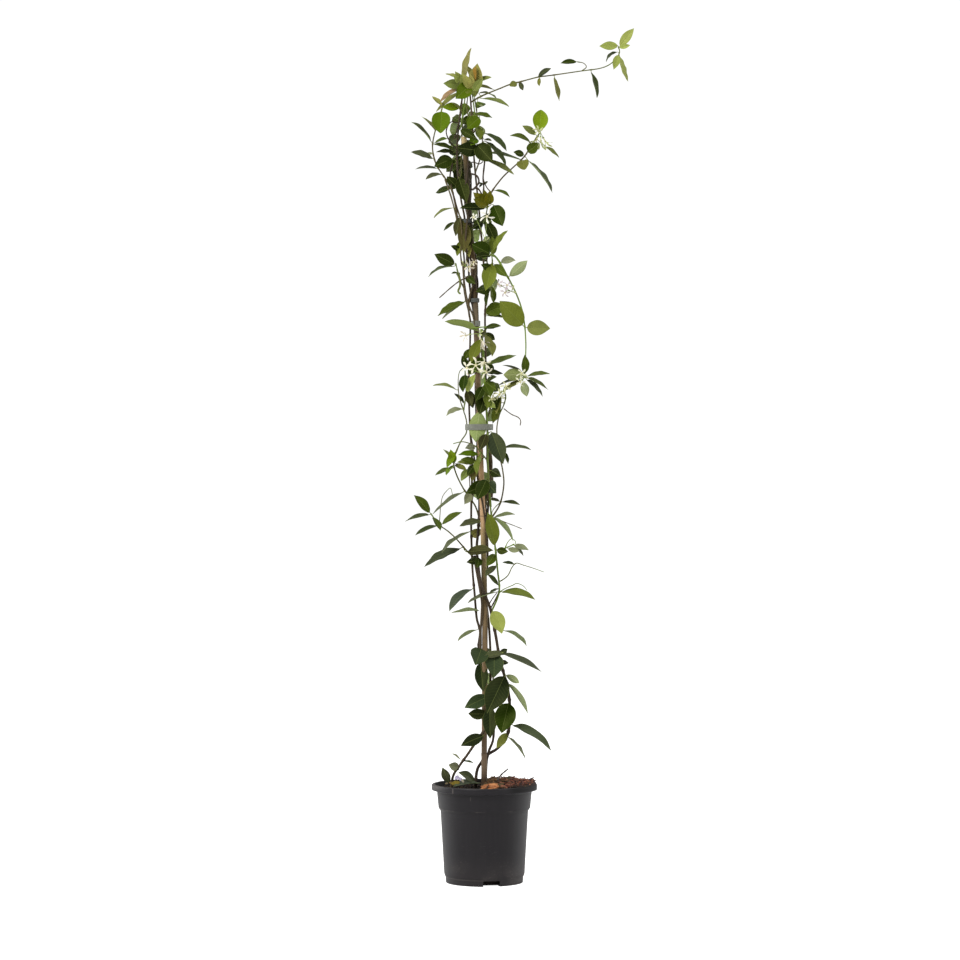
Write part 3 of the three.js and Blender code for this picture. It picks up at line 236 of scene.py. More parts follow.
class Finish:
    """A material in the making. Its nodes all come from node(), and its places are in millimetres."""

    def __init__(self, name):
        self.material = bpy.data.materials.new(name)
        self.material.use_nodes = True
        self.nodes = self.material.node_tree.nodes
        self.links = self.material.node_tree.links

    def node(self, kind, settings, sockets, out=0):
        """A new node of that kind, its settings made first and its sockets then set or linked."""
        made = self.nodes.new(kind)
        for name, value in settings.items():
            if name == "stops":
                ramp = made.color_ramp.elements
                for _ in value[2:]:
                    ramp.new(1.0)
                for element, (position, colour) in zip(ramp, value):
                    element.position = position
                    element.color = colour
            else:
                setattr(made, name, value)
        self.feed(made, sockets)
        return Wire(self, made.outputs[out])

    def feed(self, node, sockets):
        """Links a socket to what changes over the surface, and sets it to what doesn't."""
        for name, value in sockets.items():
            if isinstance(value, Wire):
                self.links.new(value.socket, node.inputs[name])
            else:
                node.inputs[name].default_value = value

    def surface(self, **sockets):
        """Feeds the sockets of the surface shader, such as Base_Color for Base Color."""
        shader = self.nodes["Principled BSDF"]
        self.feed(shader, {name.replace("_", " "): value for name, value in sockets.items()})
        return self

    def mark(self, name):
        """What the mesh says at each point: the colour `tint`, or a number."""
        out = "Color" if name == "tint" else "Fac"
        return self.node("ShaderNodeAttribute", {"attribute_name": name}, {}, out)

    def place(self, size=1.0, stretch=(1, 1, 1)):
        """Where a point lies on the piece, in units of `size` millimetres."""
        here = self.node("ShaderNodeTexCoord", {}, {}, "Object")
        scale = [s / (size * MM) for s in stretch]
        return self.node("ShaderNodeVectorMath", {"operation": "MULTIPLY"}, {0: here, 1: scale})

    def sideways(self):
        """How far to the right of the pot's axis a point lies, in millimetres."""
        return self.node("ShaderNodeSeparateXYZ", {}, {0: self.place()}, 0)

    def height(self):
        """How high a point lies, in millimetres."""
        return self.node("ShaderNodeSeparateXYZ", {}, {0: self.place()}, 2)

    def outwards(self):
        """How far from the pot's axis a point lies, in millimetres."""
        flat = self.place(1, (1, 1, 0))
        return self.node("ShaderNodeVectorMath", {"operation": "LENGTH"}, {0: flat}, 1)

    def mottle(self, size, detail=2.0, stretch=(1, 1, 1)):
        """Soft random patches about `size` millimetres wide, from 0 to 1."""
        sockets = {"Vector": self.place(size, stretch), "Scale": 1.0, "Detail": detail}
        return self.node("ShaderNodeTexNoise", {}, sockets)

    def cells(self, size, stretch=(1, 1, 1)):
        """How far a point is from the nearest of random spots about `size` millimetres apart."""
        return self.node("ShaderNodeTexVoronoi", {}, {"Vector": self.place(size, stretch), "Scale": 1.0})

    def mix(self, a, b, share):
        """Colour a turning into colour b as share goes from 0 to 1."""
        return self.node("ShaderNodeMix", {"data_type": "RGBA"}, {0: share, 6: a, 7: b}, 2)

    def ramp(self, share, stops):
        """The colour at share on a scale of stops, each a place from 0 to 1 and a colour code."""
        settings = {"stops": [(place, tone(code)) for place, code in stops]}
        return self.node("ShaderNodeValToRGB", settings, {0: share}, "Color")

    def shade(self, colour, strength):
        """A colour made darker or lighter."""
        sockets = {0: colour, 3: strength}
        return self.node("ShaderNodeVectorMath", {"operation": "SCALE"}, sockets)

    def relief(self, height, depth):
        """The tilt of a surface whose unevenness, from 0 to 1, is `depth` millimetres deep."""
        return self.node("ShaderNodeBump", {}, {"Height": height, "Distance": depth * MM})


def pot_plastic():
    """Dull black plastic: fine moulding grain, faint flow lines, dry dust low down and a few drip marks, with
    painted highlights on the foot's ledge and on the lip's top edge and left end. Inside the mouth and the
    drain notches it is rougher and blackened with painted shade, and peat is smeared on the lip at the right."""
    finish = Finish("pot_plastic")
    x = finish.sideways()
    z = finish.height()
    out = finish.outwards()
    grain = finish.mottle(0.6, 3.0)
    flow = finish.mottle(5, 2.0, (1, 1, 0.06))
    scuffs = finish.mottle(3.5, 4.0, (1, 1, 2.5)).between(0.56, 0.74)
    patches = finish.mottle(38, 3.0).between(0.42, 0.72)
    low = 1 - z.between(8, 55)
    seam = z.band(117.6, 118.4, 119.2, 120) * patches.between(0.1, 0.5)
    band_drip = (1 - abs(x + 22).between(0.3, 1.0)) * z.band(136, 138, 142, 144)
    lip_drip = (1 - abs(x + 50).between(0.4, 1.3)) * z.band(146, 149, 155, 156)
    # Painted highlights: the foot's ledge, the lip's top edge and the lip's left end are lightened where
    # light catches them, and are added to the dust.
    foot_ledge_highlight = z.band(8.6, 9.2, 10.2, 11) * (1 - x.between(-8, 2))
    lip_top_highlight = z.between(155.6, 156.8) * (0.2 + patches)
    lip_left_highlight = z.between(149, 154) * (1 - x.between(-83, -60))
    smear = x.between(28, 52) * z.between(148.6, 150)
    dust_and_highlight = scuffs * patches * (0.25 + 0.6 * low) + 0.2 * low * (0.55 + patches) + 0.5 * seam
    dust_and_highlight = dust_and_highlight + 0.45 * band_drip + lip_drip + 0.4 * foot_ledge_highlight
    dust_and_highlight = dust_and_highlight + 0.5 * (lip_top_highlight + 1.2 * lip_left_highlight) * (1 - 0.8 * smear)
    # Painted shade: the inside of the mouth and of the drain notches is blackened, and is made rougher too.
    mouth = z.between(148.4, 149) * (1 - out.between(79.4, 80.2))
    notch = (1 - z.between(9.4, 10)) * (1 - out.between(60.4, 61))
    shaded_recess = mouth + notch
    black = finish.mix(tone("#110e12"), tone("#19161a"), flow)
    black = finish.mix(black, tone("#756d68"), 0.42 * dust_and_highlight)
    black = finish.mix(black, tone("#070504"), 0.75 * smear)
    return finish.surface(
        Base_Color=finish.mix(black, tone("#080605"), shaded_recess),
        Roughness=0.44 + 0.06 * grain + 0.2 * dust_and_highlight + 0.5 * shaded_recess + 0.35 * smear,
        Specular_IOR_Level=0.3,
        Sheen_Weight=0.08,
        Sheen_Roughness=0.35,
        Normal=finish.relief(0.4 * grain + 0.8 * flow, 0.02),
    )


pot_shape = Shape()
pot_outline = rounded([(0, 0, 0), *POT_SECTION, (0, FLOOR, 0)])
pot_shape.skin(
    [[Vector((0, 0, 0))]]
    + [circle(radius, height, POT_SIDES) for radius, height in pot_outline[1:-1]]
    + [[Vector((0, 0, FLOOR))]]
)
pot = pot_shape.made("pot_body", pot_plastic(), crease=POT_CREASE)

# Each drain notch is cut with a block that starts below the foot and whose upper corners are rounded.
drain_shape = Shape()
half = DRAIN_WIDTH / 2
arch = [
    (-half, -5, 0), (-half, DRAIN_HEIGHT, DRAIN_CORNER),
    (half, DRAIN_HEIGHT, DRAIN_CORNER), (half, -5, 0),
]
ends = [-FOOT_RADIUS - DRAIN_DEPTH / 2, -FOOT_RADIUS + DRAIN_DEPTH / 2]
for degrees in DRAIN_TURNS:
    turn = Matrix.Rotation(math.radians(degrees), 3, "Z")
    drain_shape.skin([[turn @ Vector((u, y, v)) for u, v in rounded(arch)] for y in ends])
drains = drain_shape.made("drain_cutter")
cut = pot.modifiers.new("drains", "BOOLEAN")
cut.operation = "DIFFERENCE"
cut.object = drains
cut.solver = "EXACT"
notched = bpy.data.meshes.new_from_object(pot.evaluated_get(bpy.context.evaluated_depsgraph_get()))
pot.modifiers.clear()
pot.data = notched
notched.set_sharp_from_angle(angle=math.radians(POT_CREASE))
bpy.data.objects.remove(drains)
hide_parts("nursery_pot")
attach(pot, "root")

# ---------------------------------------------------------------------------------- potting soil
# Dark peat with fine fibre, pressed down by watering. It fills the pot to a finger's breadth below the rim
# and is loose on top, where crumbs and a few pale grains lie.
GAP = 0.3
SOIL_LEVEL = 149.5
SOIL_RADIUS = 74.6
SOIL_SIDES = 120
SOIL_RINGS = 26
SOIL_CRUMBS = 1100
PEAT_TONES = ("#1a1512", "#221a15", "#2b211a", "#17120f", "#3a2c20", "#4a3a2a")
# Dry leaf and petals that fell on it: place, heading, how far one end is raised, length, breadth, colour.
FALLEN = [
    (-46, -22, 161, 0.2, 0.15, 15, 9, "#6f6020"), (-53, -20, 160, 2.6, 0.4, 9, 5, "#5d4a24"),
    (-44, -12, 168.5, 0.9, 0.6, 12, 8, "#b9b0cc"), (-38, -14, 166, 2.4, 0.5, 12, 7, "#a39bb4"),
    (-35, -20, 164, 2.2, 0.7, 9, 4, "#8f8672"), (-60, -34, 161, 0.9, 0.3, 8, 4, "#6b5f45"),
]
FALLEN_FACE = Vector((0.2, -1.3, 0.8))


def lumps(x, y):
    """How far loose ground stands above or below its level at (x, y)."""
    return math.sin(0.21 * x + 1.3) * math.cos(0.17 * y - 0.4) + 0.6 * math.sin(0.31 * (x + y))


def rough(x, y, size, seed=0.0):
    """Random unevenness between -1 and 1, about `size` millimetres across."""
    return noise.noise(Vector((x / size, y / size, seed)))


def square_to(ahead, vector):
    """The direction nearest to the vector that is square to the way ahead."""
    return (vector - ahead * vector.dot(ahead)).normalized()


def crumb(draw, centre, size):
    """The rings of a small angular lump."""
    turn = Quaternion((draw.uniform(-1, 1), draw.uniform(-1, 1), draw.uniform(-1, 1), 1)).normalized()
    stretch = Vector((draw.uniform(0.7, 1.3), draw.uniform(0.7, 1.3), 0.7))
    rings = [[Vector((0, 0, -1))]]
    for level, radius in ((-0.45, 0.8), (0.45, 0.75)):
        angles = [2 * math.pi * (j + draw.uniform(-0.2, 0.2)) / 5 for j in range(5)]
        rings.append([Vector((radius * math.cos(a), radius * math.sin(a), level)) for a in angles])
    rings.append([Vector((0, 0, 1))])
    return [[centre + size * (turn @ (stretch * point)) for point in ring] for ring in rings]


def flake(draw, centre, ahead, up, length, breadth, thick):
    """The rings of a flat chip with broken corners, lying along `ahead` with its face turned to `up`."""
    side = up.cross(ahead).normalized()
    corners = 8
    reach = [draw.uniform(0.72, 1.08) for _ in range(corners)]
    warp = draw.uniform(-0.25, 0.25)
    rings = []
    for level, share in ((-0.5, 0.0), (-0.5, 0.8), (-0.2, 1.0), (0.25, 0.96), (0.5, 0.78), (0.5, 0.0)):
        ring = []
        for j in range(corners if share else 1):
            angle = 2 * math.pi * j / corners
            u = 0.5 * length * share * reach[j] * math.cos(angle)
            v = 0.5 * breadth * share * reach[j] * math.sin(angle)
            lift = level * thick + warp * u * u / length
            ring.append(centre + u * ahead + v * side + lift * up)
        rings.append(ring)
    return rings


def peat():
    """Matt dark clods with fine fibre and a few pale grains."""
    finish = Finish("peat")
    tint = finish.mark("tint")
    clods = finish.mottle(5, 5.0)
    fibre = finish.mottle(1.1, 3.0, (1, 0.3, 1))
    earth = finish.shade(tint, 0.5 + clods)
    pale = finish.cells(7).between(0.0, 0.1)
    return finish.surface(
        Base_Color=finish.mix(tone("#6d6255"), earth, 0.6 + 0.4 * pale),
        Roughness=0.82 + 0.15 * fibre,
        Specular_IOR_Level=0.25,
        Normal=finish.relief(0.7 * clods + 0.5 * fibre, 0.8),
    )


soil_shape = Shape()
soil_edge = [
    (FOOT_RADIUS - 12, FLOOR + GAP),
    (FOOT_RADIUS - 11, FOOT_HEIGHT + 0.5),
    (FOOT_RADIUS + 0.6 - WALL - GAP, FOOT_HEIGHT + 3),
    (BODY_RADIUS - WALL - GAP, BODY_TOP_HEIGHT),
    (BAND_FOOT_RADIUS - WALL - GAP, BAND_FOOT_HEIGHT),
    (SOIL_RADIUS, SOIL_LEVEL - 1.5),
]
soil_rings = [circle(radius, height, SOIL_SIDES) for radius, height in soil_edge]
for step in range(SOIL_RINGS):
    ring = circle(SOIL_RADIUS * (1 - step / SOIL_RINGS) - 0.2, 0, SOIL_SIDES)
    for point in ring:
        x, y, _ = point
        loose = lumps(x, y) + 1.3 * rough(x, y, 6) + 0.8 * rough(x, y, 2.2)
        point.z = SOIL_LEVEL - 0.6 + eased(step, 0, 2) * loose
    soil_rings.append(ring)
soil_rings.append([Vector((0, 0, SOIL_LEVEL))])
soil_shape.skin(soil_rings, tint=tone("#1c1613"))
draw = random.Random(11)
for _ in range(SOIL_CRUMBS):
    angle = draw.uniform(0, 2 * math.pi)
    out = SOIL_RADIUS * math.sqrt(draw.uniform(0, 0.96))
    spot = Vector((out * math.cos(angle), out * math.sin(angle), 0))
    size = draw.uniform(0.6, 2.1) * draw.uniform(0.6, 1.2)
    spot.z = SOIL_LEVEL + lumps(spot.x, spot.y) + 0.3 * size
    earthy = tone(draw.choice(PEAT_TONES))
    soil_shape.skin(crumb(draw, spot, size), tint=earthy)
for x, y, z, heading, tip_up, length, breadth, code in FALLEN:
    ahead = Vector((math.cos(heading), math.sin(heading), tip_up)).normalized()
    up = square_to(ahead, FALLEN_FACE)
    soil_shape.skin(flake(draw, Vector((x, y, z)), ahead, up, length, breadth, 0.5), tint=tone(code))
soil = soil_shape.made("soil_bed", peat(), crease=60)
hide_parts("potting_soil")
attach(soil, "root")

# ---------------------------------------------------------------------------------- bark mulch
# Pine bark, chipped and heaped on the right half of the soil by the grower. It climbs from a ridge beside
# the cane, spills over the lip at the right, and is olive and mossy at the ridge, red to black beyond it.
MULCH_BASE = 151.6
HEAP_CENTRE = Vector((22, 0))
HEAP_LEFT = 22
HEAP_LOW = 153
HEAP_RISE = 9.5
HEAP_RISES_FROM, HEAP_RISES_TO = -3, 14
HEAP_TOP_X = 16
HEAP_FALL = 0.034
HEAP_END = 1.6
HEAP_END_FROM, HEAP_END_TO = 56, 76
HEAP_OVERHANG_RADIUS = 80
LIP_COVER = POT_HEIGHT + GAP + 0.1
CHIP_CENTRE = Vector((8, -63))
CHIP_SEAT_RADIUS = 26
CHIP_SEAT_LEVEL = POT_HEIGHT - 0.3
CHIP_SEAT_SLOPE = 0.45
MULCH_RAYS = 108
MULCH_RINGS = 22
MULCH_FLAKES = 420
MULCH_CRUMBS = 900
MULCH_SPREAD_RADIUS = 81.5
MOSS_FROM, MOSS_TO = 18, 46
RIDGE_TONES = ("#6b4c2e", "#4a3322", "#7a5a38", "#3a2719", "#5e4328", "#52472c")
HEAP_TONES = ("#5c3228", "#43251d", "#6e3e2c", "#2e1a15", "#7c4e3a", "#3a211a", "#52312a", "#8f5c46")


def mulch_height(x, y):
    """The heap's level: a steep climb from the ridge, a slow fall to the right with a last rise at the lip,
    and a hollow in which the big chip lies."""
    heap = HEAP_LOW + HEAP_RISE * eased(x, HEAP_RISES_FROM, HEAP_RISES_TO)
    heap += HEAP_END * eased(x, HEAP_END_FROM, HEAP_END_TO) - HEAP_FALL * math.hypot(x - HEAP_TOP_X, y)
    beyond = max(0.0, (Vector((x, y)) - CHIP_CENTRE).length - CHIP_SEAT_RADIUS)
    return min(heap + 0.9 * lumps(x, y), CHIP_SEAT_LEVEL + CHIP_SEAT_SLOPE * beyond)


def mulch_reach(angle, radius):
    """How far the heap runs from its centre before it meets a circle round the pot's axis."""
    dx, dy = math.cos(angle), math.sin(angle)
    inwards = HEAP_CENTRE.x * dx + HEAP_CENTRE.y * dy
    out = math.sqrt(radius ** 2 - HEAP_CENTRE.length_squared + inwards ** 2) - inwards
    return min(out, HEAP_LEFT / -dx) if dx < 0 else out


def mulch_spot(angle, out):
    """Where the heap is met at that distance from its centre."""
    return HEAP_CENTRE.x + out * math.cos(angle), HEAP_CENTRE.y + out * math.sin(angle)


def mulch_ring(over_lip, share, level):
    """A ring of the heap, which keeps inside the pot but for the right, where it runs out over the lip. The
    level is a function of the place and of how far the heap is raised onto the lip there, from 0 to 1."""
    ring = []
    for i in range(MULCH_RAYS):
        angle = 2 * math.pi * i / MULCH_RAYS
        raised = eased(math.cos(angle), 0, 0.3)
        spread = eased(math.cos(angle), 0.3, 0.6)
        out = mulch_reach(angle, mixed(BAND_RADIUS - 0.2, over_lip, spread)) * share
        x, y = mulch_spot(angle, out)
        ring.append(Vector((x, y, level(x, y, raised))))
    return ring


def side_level(inside, on_lip):
    """A level that is `inside` within the pot and `on_lip` where the heap lies on the lip."""
    return lambda x, y, raised: mixed(inside, on_lip, raised)


def loose_top(x, y, raised):
    """The uneven level that shows between the flakes."""
    return mulch_height(x, y) - 0.8 + 1.2 * rough(x, y, 7, 3.0) + 0.6 * rough(x, y, 2.4, 5.0)


def bark():
    """Matt weathered bark, darker and lighter along its grain, with a little lichen."""
    finish = Finish("bark")
    tint = finish.mark("tint")
    patches = finish.mottle(4, 4.0)
    grain = finish.mottle(1.2, 3.0, (0.35, 1, 1))
    woody = finish.shade(tint, 0.55 + 0.5 * patches + 0.45 * grain)
    lichen = finish.mottle(9, 2.0).between(0.6, 0.72)
    return finish.surface(
        Base_Color=finish.mix(woody, tone("#6f6a3c"), 0.3 * lichen),
        Roughness=0.78 + 0.18 * grain,
        Specular_IOR_Level=0.3,
        Normal=finish.relief(grain + 0.6 * patches, 0.6),
    )


mulch_shape = Shape()
mulch_rings = [
    mulch_ring(BAND_RADIUS - 0.2, 0.997, side_level(MULCH_BASE, MULCH_BASE)),
    mulch_ring(LIP_INSIDE_RADIUS - 0.6, 0.998, side_level(MULCH_BASE + 0.5, LIP_COVER)),
    mulch_ring(RIM_RADIUS - 1.2, 0.999, side_level(MULCH_BASE + 0.8, LIP_COVER)),
    mulch_ring(RIM_RADIUS - 1.4, 1, side_level(MULCH_BASE + 1, LIP_COVER + 1)),
]
for step in range(MULCH_RINGS):
    mulch_rings.append(mulch_ring(HEAP_OVERHANG_RADIUS, 0.97 * (1 - step / MULCH_RINGS), loose_top))
mulch_rings.append([Vector((*HEAP_CENTRE, mulch_height(*HEAP_CENTRE)))])
mulch_shape.skin(mulch_rings, tint=tone("#2a1c17"))
draw = random.Random(5)
for i in range(MULCH_FLAKES + MULCH_CRUMBS):
    angle = draw.uniform(0, 2 * math.pi)
    x, y = mulch_spot(angle, mulch_reach(angle, MULCH_SPREAD_RADIUS) * math.sqrt(draw.uniform(0.0, 1.0)))
    mossy = draw.random() > eased(x, MOSS_FROM, MOSS_TO)
    bark_tint = tone(draw.choice(RIDGE_TONES if mossy else HEAP_TONES), draw.uniform(0.7, 1.2))
    if i >= MULCH_FLAKES:
        size = draw.uniform(0.4, 1.3)
        mulch_shape.skin(crumb(draw, Vector((x, y, mulch_height(x, y) + 0.2 * size)), size), tint=bark_tint)
        continue
    east = Vector((1, 0, mulch_height(x + 1, y) - mulch_height(x, y)))
    north = Vector((0, 1, mulch_height(x, y + 1) - mulch_height(x, y)))
    up = east.cross(north).normalized()
    up = (up + Vector((draw.gauss(0, 0.28), draw.gauss(0, 0.28), 0))).normalized()
    heading = draw.uniform(0, 2 * math.pi)
    length = draw.uniform(5, 15)
    breadth = length * draw.uniform(0.2, 0.55)
    spot = Vector((x, y))
    sunk = draw.uniform(-0.7, 0.9)
    # Bark at the lip lies along it and is pressed in.
    if spot.length > RIM_RADIUS - 0.6 - length / 2:
        heading = math.atan2(y, x) + math.pi / 2 + draw.uniform(-0.2, 0.2)
        spot = spot.normalized() * (RIM_RADIUS - 1.5 - 0.6 * breadth - 0.1 * length)
        sunk += draw.uniform(0, 3.5)
    ahead = square_to(up, Vector((math.cos(heading), math.sin(heading), 0)))
    centre = Vector((*spot, max(mulch_height(*spot) - sunk, POT_HEIGHT + 1.6)))
    if (spot - CHIP_CENTRE).length < CHIP_SEAT_RADIUS - 6:
        centre.z -= 1.6
    mulch_shape.skin(flake(draw, centre, ahead, up, length, breadth, draw.uniform(0.9, 2.2)), tint=bark_tint)
mulch = mulch_shape.made("mulch_heap", bark(), crease=35)
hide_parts("bark_mulch")
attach(mulch, "root")

# ---------------------------------------------------------------------------------- large bark chip
# One big fresh flake of pine bark at the front edge. It is orange where it split from the tree, and made
# of thin layers that end in steps, with a torn, fibrous face.
CHIP_LOW, CHIP_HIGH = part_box("bark_chip")
CHIP_THICK = (CHIP_HIGH.z - CHIP_LOW.z) / MM
CHIP_LENGTH = 31
CHIP_BREADTH = 39
CHIP_TURN = 0.12
CHIP_LOW_END = 0.68
CHIP_TORN = 0.34
CHIP_EDGE_STEPS = 8
CHIP_OUTLINE = [
    (-0.5, -0.3), (-0.32, -0.47), (-0.1, -0.42), (0.08, -0.5), (0.4, -0.36), (0.5, -0.1), (0.36, 0.1),
    (0.42, 0.4), (0, 0.5), (-0.2, 0.38), (-0.45, 0.32), (-0.4, 0.0),
]
# Splinters that lift off its face: place, heading, rise, length, breadth, thickness.
CHIP_SPLINTERS = [
    (4, -68, 160, 0.2, 0.1, 20, 8, 1.4), (14, -66, 161, -0.1, 0.09, 18, 10, 1.4),
    (9, -58, 161, 0.1, 0.08, 22, 8, 1.4), (19, -70, 159.5, -0.3, 0.12, 10, 6, 1.6),
    (0, -76, 157.6, 0.4, 0.08, 13, 5, 1.6), (10, -78, 157.6, 0.0, 0.05, 18, 5, 1.6),
]
CHIP_SPLINTER_FACE = Vector((0, -0.5, 1))
# Its layers from the underside to the top: how high, as a share of its thickness, and how large.
CHIP_LAYERS = [
    (0.0, 0.9), (0.04, 0.97), (0.3, 1.0), (0.34, 0.93), (0.62, 0.95), (0.66, 0.84), (0.93, 0.86), (1.0, 0.8),
    (0.97, 0.66), (1.0, 0.5), (0.95, 0.34), (0.99, 0.18),
]


def orange_bark():
    """Fresh inner bark: orange with long fibres and brown scars."""
    finish = Finish("orange_bark")
    streaks = finish.mottle(2.4, 4.0, (0.25, 1, 1))
    fibre = finish.mottle(0.7, 3.0, (0.15, 1, 1))
    scars = finish.mottle(6, 3.0).between(0.56, 0.7)
    warm = finish.mix(tone("#773c1c"), tone("#c98a58"), streaks.between(0.32, 0.68))
    return finish.surface(
        Base_Color=finish.mix(warm, tone("#5e3a28"), 0.75 * scars),
        Roughness=0.7 + 0.2 * fibre,
        Specular_IOR_Level=0.3,
        Normal=finish.relief(0.7 * streaks + 0.6 * fibre, 0.7),
    )


chip_shape = Shape()
chip_edge = []
for i, corner in enumerate(CHIP_OUTLINE):
    here, ahead = Vector(corner), Vector(CHIP_OUTLINE[(i + 1) % len(CHIP_OUTLINE)])
    chip_edge.extend(mixed(here, ahead, step / CHIP_EDGE_STEPS) for step in range(CHIP_EDGE_STEPS))
chip_turn = Matrix.Rotation(CHIP_TURN, 2)
chip_rings = []
for rise, share in CHIP_LAYERS:
    ring = []
    for u, v in chip_edge:
        torn = 1 - CHIP_TORN * abs(rough(60 * u, 60 * v, 7, 3 * rise)) * eased(share, 0.3, 0.9)
        flat = chip_turn @ Vector((u * CHIP_LENGTH, v * CHIP_BREADTH)) * share * torn + CHIP_CENTRE
        sag = 0.35 * rough(flat.x, flat.y, 4, 2.0) * eased(rise, 0.2, 0.9)
        tilted = rise * CHIP_THICK * mixed(CHIP_LOW_END, 1, eased(u, -0.5, 0.3))
        ring.append(Vector((*flat, CHIP_LOW.z / MM + tilted + min(0, sag))))
    chip_rings.append(ring)
chip_rings.append([Vector((*CHIP_CENTRE, CHIP_LOW.z / MM + 0.9 * CHIP_THICK))])
chip_shape.skin(chip_rings)
draw = random.Random(3)
for x, y, z, heading, rise, length, breadth, thick in CHIP_SPLINTERS:
    ahead = Vector((math.cos(heading), math.sin(heading), rise)).normalized()
    up = square_to(ahead, CHIP_SPLINTER_FACE)
    chip_shape.skin(flake(draw, Vector((x, y, z)), ahead, up, length, breadth, thick))
chip = chip_shape.made("bark_flake", orange_bark(), crease=30)
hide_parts("bark_chip")
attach(chip, "root")

# ---------------------------------------------------------------------------------- dry twig
# A dead twig that came with the bark: bare grey-brown wood with a few bud scars. It is pushed into the heap
# and stands up out of it, leaning on nothing.
DRY_TWIG_ROUTE = [(18, -6, 158), (26, -6, 171), (38, -5, 181.5)]
DRY_TWIG_RADII = (1.5, 1.1)
DRY_TWIG_SCARS = (0.22, 0.55, 0.81)


def bell(distance, width):
    """1 at no distance, and falling away smoothly to about a third at `width`."""
    return math.exp(-((distance / width) ** 2))


def along(route, step):
    """Points on a smooth line through the route's knots, with a new one at least every `step`."""
    knots = [Vector(knot) for knot in route]
    knots = [2 * knots[0] - knots[1], *knots, 2 * knots[-1] - knots[-2]]
    line = []
    for before, start, end, after in zip(knots, knots[1:], knots[2:], knots[3:]):
        leave = (end - before) / 2
        arrive = (after - start) / 2
        cuts = math.ceil((end - start).length / step)
        for i in range(cuts):
            t = i / cuts
            line.append(
                start + leave * t + (3 * (end - start) - 2 * leave - arrive) * t ** 2
                + (2 * (start - end) + leave + arrive) * t ** 3
            )
    return [*line, knots[-2]]


def tube(line, radius_at, sides):
    """Rings round a line of points. The radius is a function of how far along the ring lies, from 0 to 1."""
    across = Vector((1, 0.2, 0))
    rings = []
    for i, point in enumerate(line):
        ahead = (line[min(i + 1, len(line) - 1)] - line[max(i - 1, 0)]).normalized()
        across = square_to(ahead, across)
        side = ahead.cross(across)
        radius = radius_at(i / (len(line) - 1))
        angles = [2 * math.pi * j / sides for j in range(sides)]
        rings.append([point + radius * (math.cos(a) * across + math.sin(a) * side) for a in angles])
    return rings


def dry_twig_radius(t):
    """It tapers, and swells at each bud scar."""
    swell = max(bell(t - scar, 0.03) for scar in DRY_TWIG_SCARS)
    return mixed(*DRY_TWIG_RADII, t) * (1 + 0.35 * swell)


def dead_wood():
    """Grey-brown and dull, streaked along the twig."""
    finish = Finish("dead_wood")
    streaks = finish.mottle(0.8, 3.0, (1, 1, 0.2))
    return finish.surface(
        Base_Color=finish.mix(tone("#2c2925"), tone("#686058"), streaks),
        Roughness=0.85 + 0.1 * streaks,
        Normal=finish.relief(streaks, 0.25),
    )


dry_twig_shape = Shape()
dry_twig_shape.skin(tube(along(DRY_TWIG_ROUTE, 1.2), dry_twig_radius, 10))
dry_twig = dry_twig_shape.made("dead_twig", dead_wood())
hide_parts("dry_twig")
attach(dry_twig, "root")

# ---------------------------------------------------------------------------------- bamboo cane
# A split-free bamboo cane of the 120 cm size, pushed to the bottom of the pot and leaning left with the
# plant's weight. It has a swollen ring and a leaf scar at each joint and is sawn off open at the top.
CANE_RADIUS = 4.5
CANE_BORE = 2.6
CANE_FOOT = 22
CANE_TOP = 1192
CANE_STEP = 12
CANE_SIDES = 28
CANE_LINE = [
    (-0.7, 0, CANE_FOOT), (-0.7, 0, 160), (0.5, 0, 300), (1, 0, 420), (-1.9, 0, 570), (-6.5, 0, 690),
    (-14, 0, 920), (-19, 0, 1000), (-25, 0, 1080), (-29, 0, 1150), (-33, 0, CANE_TOP),
]
CANE_JOINTS = [205, 330, 452, 584, 708, 838, 962, 1076]
JOINT_STEPS = (-8, -6, -4, -3, -2, -1, 0, 1, 2, 3, 4, 6, 8)
# The sawn end, from its outer edge into the bore: radius and height.
CANE_END = [
    (CANE_RADIUS, CANE_TOP - 0.6), (CANE_RADIUS - 0.4, CANE_TOP),
    (CANE_BORE + 0.3, CANE_TOP), (CANE_BORE, CANE_TOP - 6),
]
# Its colour from the foot to the top, darkened with painted shade where the leaves hang over it: how high, as
# a share of its height, and the colour there.
CANE_TONES = [
    (0.0, "#3a2c20"), (0.137, "#3d2e22"), (0.15, "#6c5b4a"), (0.3, "#7a6449"), (0.4, "#6c5c41"),
    (0.445, "#84764f"), (0.46, "#9a8560"), (0.49, "#bf9b76"), (0.56, "#c09c76"), (0.59, "#8c7656"),
    (0.7, "#6c5745"), (0.77, "#625645"), (0.785, "#3f3120"), (0.815, "#3a2c1c"), (0.825, "#5c4a34"),
    (0.845, "#5c4a34"), (0.86, "#2e2615"), (0.955, "#2a2414"), (0.967, "#4e4029"), (0.982, "#55452f"),
    (0.99, "#a8946c"), (1.0, "#b8a578"),
]


def cane_centre(z):
    """The middle of the cane at that height."""
    for low, high in zip(CANE_LINE, CANE_LINE[1:]):
        if z <= high[2]:
            break
    return Vector((mixed(low[0], high[0], (z - low[2]) / (high[2] - low[2])), 0, z))


def cane_radius(z):
    """Each joint swells below its scar, and the cane narrows for a moment above it."""
    swell = 0.0
    for joint in CANE_JOINTS:
        above = z - joint
        if above < 0:
            swell = max(swell, 0.5 * bell(above, 4))
        else:
            swell = max(swell, 0.5 * bell(above, 1.3) - 0.12 * bell(above - 3, 2))
    return CANE_RADIUS + swell


def cane_ring(z, radius):
    """A level ring of points round the cane."""
    return [cane_centre(z) + point for point in circle(radius, 0, CANE_SIDES)]


